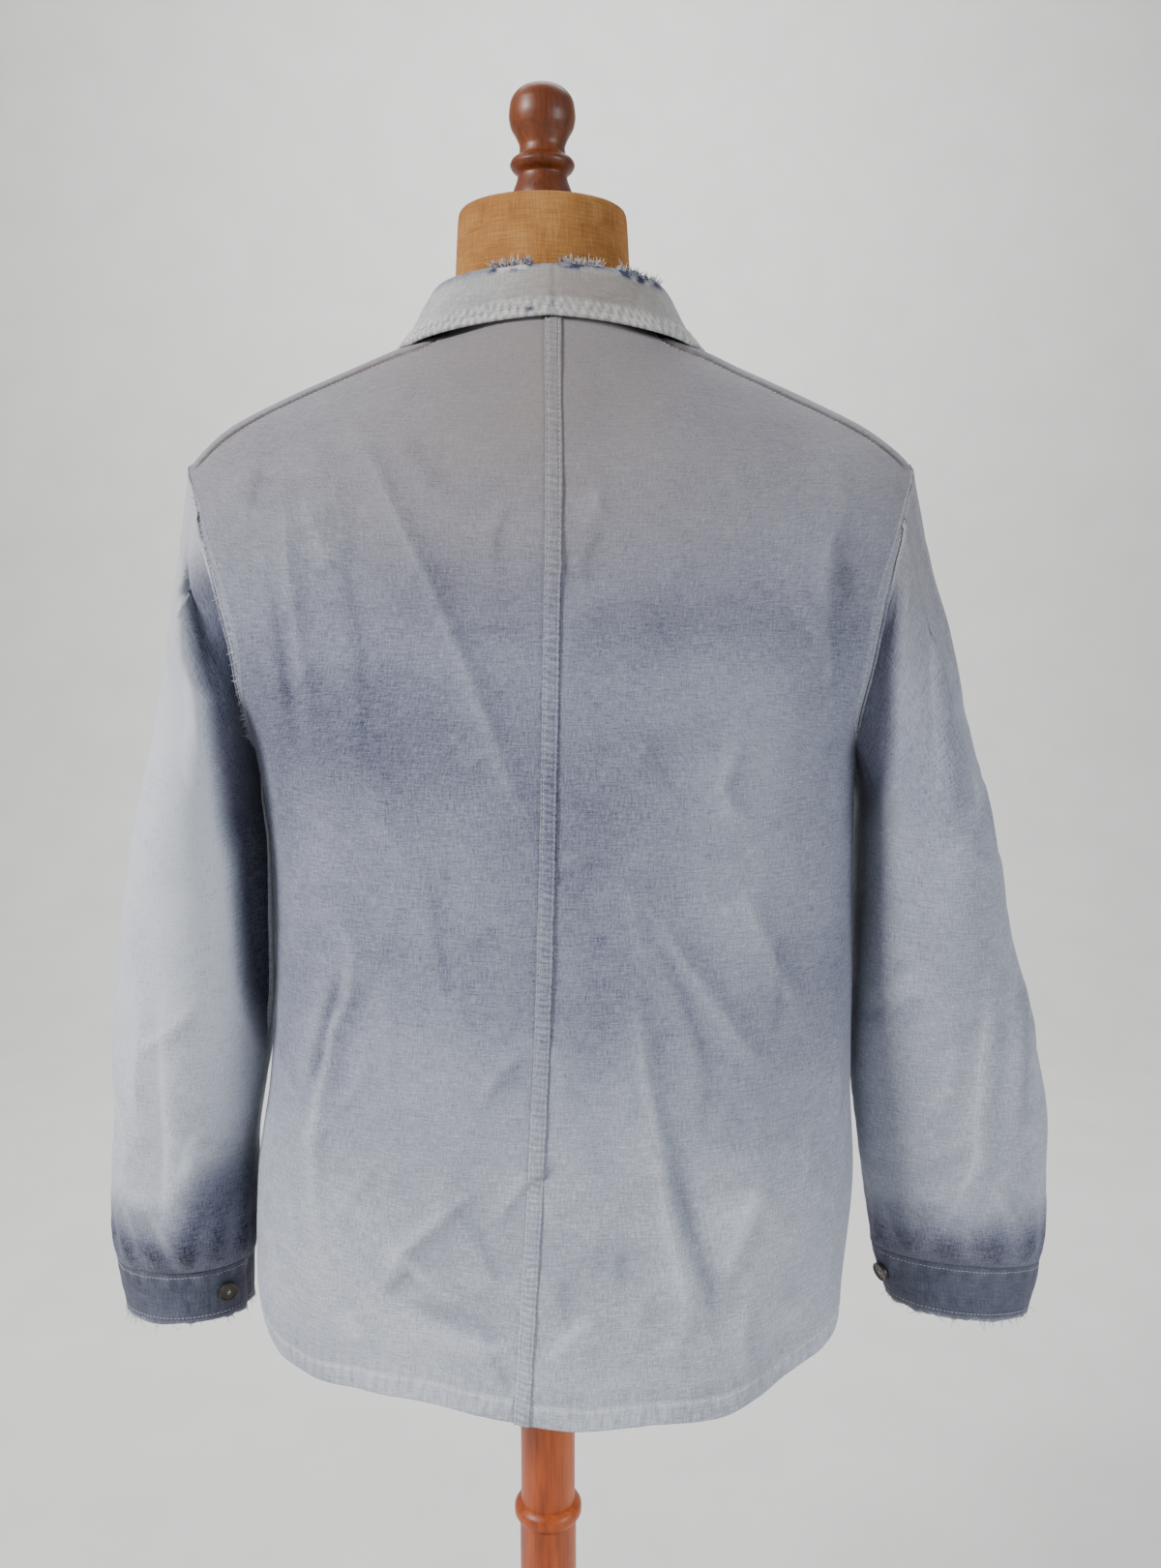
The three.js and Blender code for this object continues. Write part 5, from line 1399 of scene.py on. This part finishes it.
# %% [markdown]
# ## Frayed threads
#
# Where the cloth has worn through, at the collar's fold, along the lower cuffs and beside the
# left armhole, single threads stand out. Each is a thin bent tube of a few faces, grown from the
# edge in a seeded random direction.
# %% Threads
def frays(name, roots, out, count, reach, seed, slot, finish=THREAD, thick=0.28):
    """Thin bent threads that grow out of random places on a line of roots."""
    rng = np.random.default_rng(seed)
    parts = []
    for _ in range(count):
        k = rng.integers(0, len(roots))
        heading = unit(out[k] + rng.normal(0, 0.7, 3))
        curl = unit(rng.normal(0, 1, 3)) * rng.uniform(0.1, 0.5)
        length = reach * rng.uniform(0.4, 1.25)
        steps = np.linspace(0, 1, 6)[:, None]
        line = roots[k] + length * (heading * steps + curl * steps**2 + rng.normal(0, 0.04, (6, 3)) * steps)
        side = unit(np.cross(heading, [0.3, 0.2, 0.9]))
        other = unit(np.cross(heading, side))
        slim = thick * (1 - 0.5 * steps)
        rings = [line + (side * math.cos(a) + other * math.sin(a)) * slim for a in (0, 2.1, 4.2)]
        points = np.stack(rings, 1).reshape(-1, 3)
        quads = [[r * 3 + c, r * 3 + (c + 1) % 3, r * 3 + 3 + (c + 1) % 3, r * 3 + 3 + c]
                 for r in range(5) for c in range(3)]
        ends = [[0, 2, 1, 1], [15, 16, 17, 17]]
        parts.append((points, quads, [e[:3] for e in ends]))
    points = np.concatenate([p for p, _, _ in parts])
    faces = []
    for k, (_, quads, ends) in enumerate(parts):
        faces += [[18 * k + v for v in f] for f in quads + ends]
    mesh = bpy.data.meshes.new(name)
    mesh.from_pydata((points * MM).tolist(), [], faces)
    mesh.materials.append(finish.material)
    piece = bpy.data.objects.new(name, mesh)
    bpy.context.scene.collection.objects.link(piece)
    deselect()
    piece.select_set(True)
    bpy.context.view_layer.objects.active = piece
    bpy.ops.object.mode_set(mode="EDIT")
    bpy.ops.mesh.select_all(action="SELECT")
    bpy.ops.mesh.normals_make_consistent(inside=False)
    bpy.ops.object.mode_set(mode="OBJECT")
    print(name, count, "threads")
    return settle(piece, slot)


BLUE_THREAD = Finish("blue_thread", Roughness=0.85)
BLUE_THREAD.feed(BLUE_THREAD.shader.inputs["Base Color"], BLUE_THREAD.ramp(
    BLUE_THREAD.noise(BLUE_THREAD.object_place(), 300.0), [(0.3, paint(58, 66, 112)), (0.7, paint(108, 116, 150))]))
fold = collar_grid["outer"][:, FOLD_COLUMN]
upwards = collar_grid["normals"][:, FOLD_COLUMN] + np.array([0, 0, 0.7])
near = np.abs(fold[:, :1] - np.array(FRAYED_AT)).min(1) < 14
worn = near & (fold[:, 1] < 0)
stitches["collar_fray"] = frays("frayed_collar", fold[worn], upwards[worn], 420, 4.6, 201, "seam_cotton")
stitches["collar_blue"] = frays("blue_frayed_collar", fold[worn], upwards[worn], 160, 3.4, 202, "seam_cotton",
                                BLUE_THREAD, 0.4)
for side in ("left", "right"):
    edge = cuffs[side]["outer"][0]
    drop = np.tile([0.0, -0.15, -1.0], (len(edge), 1))
    stitches[f"cuff_fray_{side}"] = frays(f"frayed_cuff_{side}", edge, drop, 90, 6.0, 211, "cuff_cotton")
edge = panels["back_left"]["outer"][ARMPIT_ROW + 10 : TIP_ROW - 14, -3]
edge_out = panels["back_left"]["normals"][ARMPIT_ROW + 10 : TIP_ROW - 14, -3] + np.array([-0.8, 0, 0])
stitches["armhole_fray"] = frays("frayed_armhole", edge, edge_out, 110, 4.0, 221, "jacket_cotton")

# %% [markdown]
# ## Buttons
#
# The buttons are dull olive-brown discs with a raised rim and four holes, sewn on with pale
# thread. One is modelled: a cylinder whose top is inset and pushed down, with bevelled edges and
# four holes cut through. Copies go where the CAD's buttons sit, each turned to lie on its cloth.
# %% One button
HORN = Finish("dull_horn", Roughness=0.42, Coat_Weight=0.15, Coat_Roughness=0.35)
place = HORN.object_place()
cloud = HORN.noise(place, 260.0, 3.0, 0.6)
streak = HORN.noise(HORN.stretched(place, (900, 120, 300)), 1.0, 2.0)
HORN.feed(HORN.shader.inputs["Base Color"], HORN.ramp((cloud + (streak - 0.5) * 0.5).within(), [
    (0.25, paint(38, 34, 28)), (0.6, paint(62, 56, 46)), (0.85, paint(92, 84, 68))]))
HORN.feed(HORN.shader.inputs["Roughness"], (0.3 + cloud * 0.3).within())
HORN.relief(cloud + streak * 0.5, 0.0002, 0.4)


def select_faces(piece, chosen):
    bpy.ops.mesh.select_mode(type="FACE")
    bpy.ops.mesh.select_all(action="DESELECT")
    shape = bmesh.from_edit_mesh(piece.data)
    for face in shape.faces:
        face.select_set(chosen(face.calc_center_median(), face.normal))
    bmesh.update_edit_mesh(piece.data)


BUTTON_RADIUS, BUTTON_THICK, HOLE_RADIUS, HOLE_APART = 9.0, 3.2, 0.75, 1.45


def button_master():
    deselect()
    bpy.ops.mesh.primitive_cylinder_add(vertices=48, radius=BUTTON_RADIUS * MM, depth=BUTTON_THICK * MM,
                                        location=(0, 0, BUTTON_THICK / 2 * MM))
    piece = bpy.context.object
    piece.name = "button_master"
    bpy.ops.object.transform_apply(location=True)
    bpy.ops.object.mode_set(mode="EDIT")
    select_faces(piece, lambda middle, normal: normal.z > 0.9)
    bpy.ops.mesh.inset(thickness=1.5 * MM)
    bpy.ops.mesh.inset(thickness=0.8 * MM)
    bpy.ops.transform.translate(value=(0, 0, -0.9 * MM))
    select_faces(piece, lambda middle, normal: normal.z < -0.9)
    bpy.ops.mesh.inset(thickness=1.6 * MM)
    bpy.ops.mesh.select_all(action="SELECT")
    bpy.ops.object.mode_set(mode="OBJECT")
    bevel = piece.modifiers.new("rounded", "BEVEL")
    bevel.width, bevel.segments, bevel.limit_method, bevel.angle_limit = 0.5 * MM, 3, "ANGLE", math.radians(35)
    bpy.ops.object.modifier_apply(modifier="rounded")
    for dx in (-1, 1):
        for dy in (-1, 1):
            deselect()
            bpy.ops.mesh.primitive_cylinder_add(vertices=12, radius=HOLE_RADIUS * MM, depth=8 * MM,
                                                location=(dx * HOLE_APART * MM, dy * HOLE_APART * MM, 0))
            drill = bpy.context.object
            deselect()
            piece.select_set(True)
            bpy.context.view_layer.objects.active = piece
            cut = piece.modifiers.new("hole", "BOOLEAN")
            cut.operation, cut.object, cut.solver = "DIFFERENCE", drill, "EXACT"
            bpy.ops.object.modifier_apply(modifier="hole")
            bpy.data.objects.remove(drill)
    bpy.ops.object.shade_smooth_by_angle(angle=math.radians(35))
    piece.data.materials.clear()
    piece.data.materials.append(HORN.material)
    return piece


def thread_cross():
    """Two crossing pairs of thread strands over the holes, as points and faces."""
    parts = []
    for sign in (-1, 1):
        t = np.linspace(-1.15, 1.15, 9)
        line = np.stack([t * HOLE_APART, t * HOLE_APART * sign, 2.2 + 0.55 * (1 - (t / 1.15) ** 2)], -1)
        for shift in (-0.28, 0.28):
            side = unit(np.array([1.0, -sign, 0.0]))
            path = line + side * shift
            ring = [path + side * 0.27 * math.cos(a) + np.array([0, 0, 0.27]) * math.sin(a)
                    for a in np.linspace(0, 2 * np.pi, 7)[:-1]]
            points = np.stack(ring, 1).reshape(-1, 3)
            quads = [[r * 6 + c, r * 6 + (c + 1) % 6, r * 6 + 6 + (c + 1) % 6, r * 6 + 6 + c]
                     for r in range(8) for c in range(6)]
            parts.append((points, quads))
    return parts


master = button_master()
cross = plain_mesh("button_thread", thread_cross(), THREAD)
print("button", len(master.data.polygons), "faces")


# %% Copies on the jacket
def seat_of(node):
    """Where a CAD button sits: its centre's foot, its outward axis and its radius, in metres."""
    co = np.array([v.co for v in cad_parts[node].data.vertices], float)
    middle = (co.min(0) + co.max(0)) / 2
    middle = np.unique(np.round(co, 6), axis=0).mean(0)
    axis = np.linalg.svd(co - middle, full_matrices=False)[2][-1]
    away = middle - np.array([0, 0, middle[2]])
    if "cuff" in node:
        side = "left" if middle[0] < 0 else "right"
        shape = sleeve_shape[side]
        z = middle[2] / MM
        centre = np.array([(shape["outer"](z) + shape["inner"](z)) / 2, shape["middle"](z), z]) * MM
        away = middle - centre
    axis = axis * np.sign(axis @ away)
    along = (co - middle) @ axis
    radius = np.linalg.norm((co - middle) - np.outer(along, axis), axis=1).max()
    return middle + axis * along.min(), axis, radius


def put_on(source, name, foot, axis, size, turn):
    from mathutils import Matrix, Vector
    piece = source.copy()
    piece.data = source.data.copy()
    piece.name = name
    bpy.context.scene.collection.objects.link(piece)
    spin = Vector((0, 0, 1)).rotation_difference(Vector(axis)).to_matrix().to_4x4()
    place = Matrix.Translation(Vector(foot)) @ spin @ Matrix.Rotation(turn, 4, "Z") @ Matrix.Scale(size, 4)
    piece.data.transform(place)
    return piece


buttons = [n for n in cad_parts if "button" in n]
for k, node in enumerate(sorted(buttons)):
    foot, axis, radius = seat_of(node)
    size = radius / (BUTTON_RADIUS * MM)
    turn = 0.5 + 1.7 * k
    disc = settle(put_on(master, f"horn_{node}", foot, axis, size, turn), "button_horn", node)
    sewn = settle(put_on(cross, f"thread_{node}", foot, axis, size, turn), "seam_cotton")
    stitches[node] = disc
    stitches[f"thread_{node}"] = sewn
bpy.data.objects.remove(master)
bpy.data.objects.remove(cross)
print(len(buttons), "buttons")

# %% [markdown]
# ## The linen form
#
# The form is a padded torso covered with tan linen, and only its neck shows above the collar. Its
# CAD node has the right shape but is faceted, so a copy is merged, turned back to quads and
# subdivided. The weave runs round the neck and up it.
# %% Linen
LINEN = Finish("tan_linen", Roughness=0.85, Specular_IOR_Level=0.25)
place = LINEN.object_place()
split = LINEN.node("ShaderNodeSeparateXYZ", {}, {"Vector": place})
east, north, up = (Wire(LINEN, split.socket.node.outputs[k]) for k in range(3))
angle = east.maths("ARCTAN2", east, north * -1.0) * 0.06
around = LINEN.node("ShaderNodeCombineXYZ", {}, {"X": angle, "Y": up})
warp = LINEN.noise(LINEN.stretched(around, (900, 60, 1)), detail=3.0, rough=0.65)
weft = LINEN.noise(LINEN.stretched(around, (50, 900, 1)), detail=3.0, rough=0.65)
cloud = LINEN.noise(place, 18.0, 4.0, 0.6)
stain = LINEN.noise(place, 55.0, 3.0, 0.6)
weave = (warp - 0.5) + (weft - 0.5)
tone = 0.5 + weave * 0.7 + (cloud - 0.5) * 0.9 + (stain - 0.5) * 0.5
LINEN.feed(LINEN.shader.inputs["Base Color"], LINEN.ramp(tone.within(), [
    (0.0, paint(108, 62, 26)), (0.5, paint(168, 116, 62)), (1.0, paint(204, 156, 98))]))
LINEN.relief(weave + (cloud - 0.5) * 0.6, 0.0006, 0.6)

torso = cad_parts["form_torso"].copy()
torso.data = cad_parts["form_torso"].data.copy()
torso.name = "linen_form"
torso.parent = None
for key in list(torso.keys()):
    del torso[key]
bpy.context.scene.collection.objects.link(torso)
deselect()
torso.select_set(True)
bpy.context.view_layer.objects.active = torso
bpy.ops.object.mode_set(mode="EDIT")
bpy.ops.mesh.select_all(action="SELECT")
bpy.ops.mesh.remove_doubles(threshold=0.00002)
bpy.ops.mesh.tris_convert_to_quads(face_threshold=math.radians(60), shape_threshold=math.radians(60))
bpy.ops.object.mode_set(mode="OBJECT")
subdivision = torso.modifiers.new("smooth", "SUBSURF")
subdivision.levels = subdivision.render_levels = 3
bpy.ops.object.modifier_apply(modifier="smooth")
bpy.ops.object.shade_smooth()
torso.data.materials.clear()
torso.data.materials.append(LINEN.material)
settle(torso, "form_linen", "form_torso")
print("form", len(torso.data.polygons), "faces")

# %% [markdown]
# ## Turned wood
#
# The finial, the pole and the base are turned on a lathe. Each starts as a circle and is extruded
# and resized for every step of its smoothed profile, as the turner's gouge would follow it. The
# varnish is orange-brown over a straight grain.
# %% Varnished wood
def varnished(name, *stops):
    finish = Finish(name, Roughness=0.4, Coat_Weight=0.2, Coat_Roughness=0.3)
    place = finish.object_place()
    wander = finish.noise(finish.stretched(place, (22, 22, 5)), detail=3.0, rough=0.6)
    fine = finish.noise(finish.stretched(place, (420, 420, 18)), detail=3.0, rough=0.6)
    dark = finish.noise(finish.stretched(place, (60, 60, 9)), detail=4.0, rough=0.65)
    tone = 0.5 + (wander - 0.5) * 1.3 + (fine - 0.5) * 0.7 + (dark - 0.5) * 0.8
    colours = [(k / (len(stops) - 1), paint(*stop)) for k, stop in enumerate(stops)]
    finish.feed(finish.shader.inputs["Base Color"], finish.ramp(tone.within(), colours))
    finish.feed(finish.shader.inputs["Roughness"], (0.34 + fine * 0.25).within())
    finish.relief(fine + wander * 0.4, 0.0004, 0.35)
    return finish


POLE_WOOD = varnished("varnished_wood", (84, 30, 6), (156, 66, 18), (194, 92, 32), (214, 122, 50))
FINIAL_WOOD = varnished("dark_varnished_wood", (46, 18, 5), (90, 40, 12), (120, 58, 20), (152, 84, 36))


def turned(name, node, finish, profile, steps=60, sides=64):
    """A lathed piece: a disc that is extruded up and resized along a smoothed profile."""
    profile = np.array(profile, float)
    run = lengths(profile[None])[0]
    at = np.unique(np.concatenate([np.linspace(0, run[-1], steps), run]))
    radius, level = (smooth(run, profile[:, k])(at) for k in range(2))
    deselect()
    bpy.ops.mesh.primitive_circle_add(vertices=sides, radius=radius[0] * MM, fill_type="NGON",
                                      location=(0, 0, level[0] * MM))
    piece = bpy.context.object
    piece.name = name
    bpy.ops.object.transform_apply(location=True)
    bpy.ops.object.mode_set(mode="EDIT")
    bpy.ops.mesh.select_all(action="SELECT")
    for r0, z0, r1, z1 in zip(radius, level, radius[1:], level[1:]):
        bpy.ops.mesh.extrude_region_move(TRANSFORM_OT_translate={"value": (0, 0, (z1 - z0) * MM)})
        bpy.ops.transform.resize(value=(r1 / r0, r1 / r0, 1), center_override=(0, 0, z1 * MM))
    bpy.ops.mesh.select_all(action="SELECT")
    bpy.ops.mesh.normals_make_consistent(inside=False)
    bpy.ops.object.mode_set(mode="OBJECT")
    bpy.ops.object.shade_smooth_by_angle(angle=math.radians(50))
    piece.data.materials.append(finish.material)
    print(name, len(piece.data.polygons), "faces")
    return settle(piece, "stand_wood", node)


turned("wood_finial", "finial", FINIAL_WOOD, [
    (22.5, 1539.3), (21, 1548), (17, 1561), (20.5, 1564.5), (22.2, 1568), (20.5, 1571.5),
    (16.2, 1574.5), (15.5, 1579), (18, 1586), (21.6, 1592.5), (22.7, 1599), (21.8, 1607),
    (18, 1614), (11, 1618.3), (4, 1619.5)])
turned("wood_pole", "pole", POLE_WOOD, [
    (22.5, 32.3), (22.5, 300), (22.5, 546), (24.8, 547.5), (26.8, 551), (26.8, 556), (24.8, 559.5),
    (21.5, 561.5), (21.5, 680), (21.5, 799.7)])
turned("wood_base", "base", POLE_WOOD, [
    (176, 0), (180, 4), (180, 14), (172, 20), (120, 24), (48, 28), (40, 32)])

# %% [markdown]
# ## Cloth sizes
#
# Each piece is cut from flat cloth, and its flat size says how much cloth it takes. The sizes are
# those of a large work jacket, with what is turned under at hems and seams left out, and each is
# printed beside the area its piece measures.
# %% Sheets
FLAT_SIZES = {  # width, length, share of that rectangle, how it is held, what it rests on
    "back_left": (0.29, 0.76, 0.86, "hung", "linen_form"),
    "back_right": (0.30, 0.76, 0.86, "hung", "linen_form"),
    "front_left": (0.31, 0.75, 0.84, "hung", "linen_form"),
    "front_right": (0.30, 0.75, 0.84, "hung", "linen_form"),
    "sleeve_left": (0.42, 0.60, 0.76, "hung", "cloth_back_left"),
    "sleeve_right": (0.42, 0.61, 0.76, "hung", "cloth_back_right"),
    "cuff_left": (0.27, 0.043, 1.0, "folded", "cloth_sleeve_left"),
    "cuff_right": (0.27, 0.043, 1.0, "folded", "cloth_sleeve_right"),
    "placket_left": (0.02, 0.067, 1.0, "laid", "cloth_sleeve_left"),
    "placket_right": (0.02, 0.067, 1.0, "laid", "cloth_sleeve_right"),
    "pocket_left": (0.15, 0.16, 1.0, "laid", "cloth_front_left"),
    "pocket_right": (0.15, 0.16, 1.0, "laid", "cloth_front_right"),
    "collar": (0.50, 0.085, 0.8, "folded", "linen_form"),
}


def one_side_area(piece):
    shape = bmesh.new()
    shape.from_mesh(piece.data)
    area = sum(face.calc_area() for face in shape.faces) / 2
    shape.free()
    return area


GOES_WITH = {
    "front_left": [f"horn_button_{k}" for k in range(1, 6)] + [f"thread_button_{k}" for k in range(1, 6)],
    "cuff_left": ["horn_cuff_button_left", "thread_cuff_button_left", "frayed_cuff_left"],
    "cuff_right": ["horn_cuff_button_right", "thread_cuff_button_right", "frayed_cuff_right"],
    "back_left": ["frayed_armhole"],
    "collar": ["frayed_collar", "blue_frayed_collar"],
}
for name, (width, length, share, held, rest) in FLAT_SIZES.items():
    with_pieces = list(GOES_WITH.get(name, []))
    if f"stitches_{name}" in bpy.data.objects:
        with_pieces.append(f"stitches_{name}")
    print(name, "flat", width, "x", length, "cut", round(width * length * share, 4),
          "measured", round(one_side_area(cloths[name]), 4))
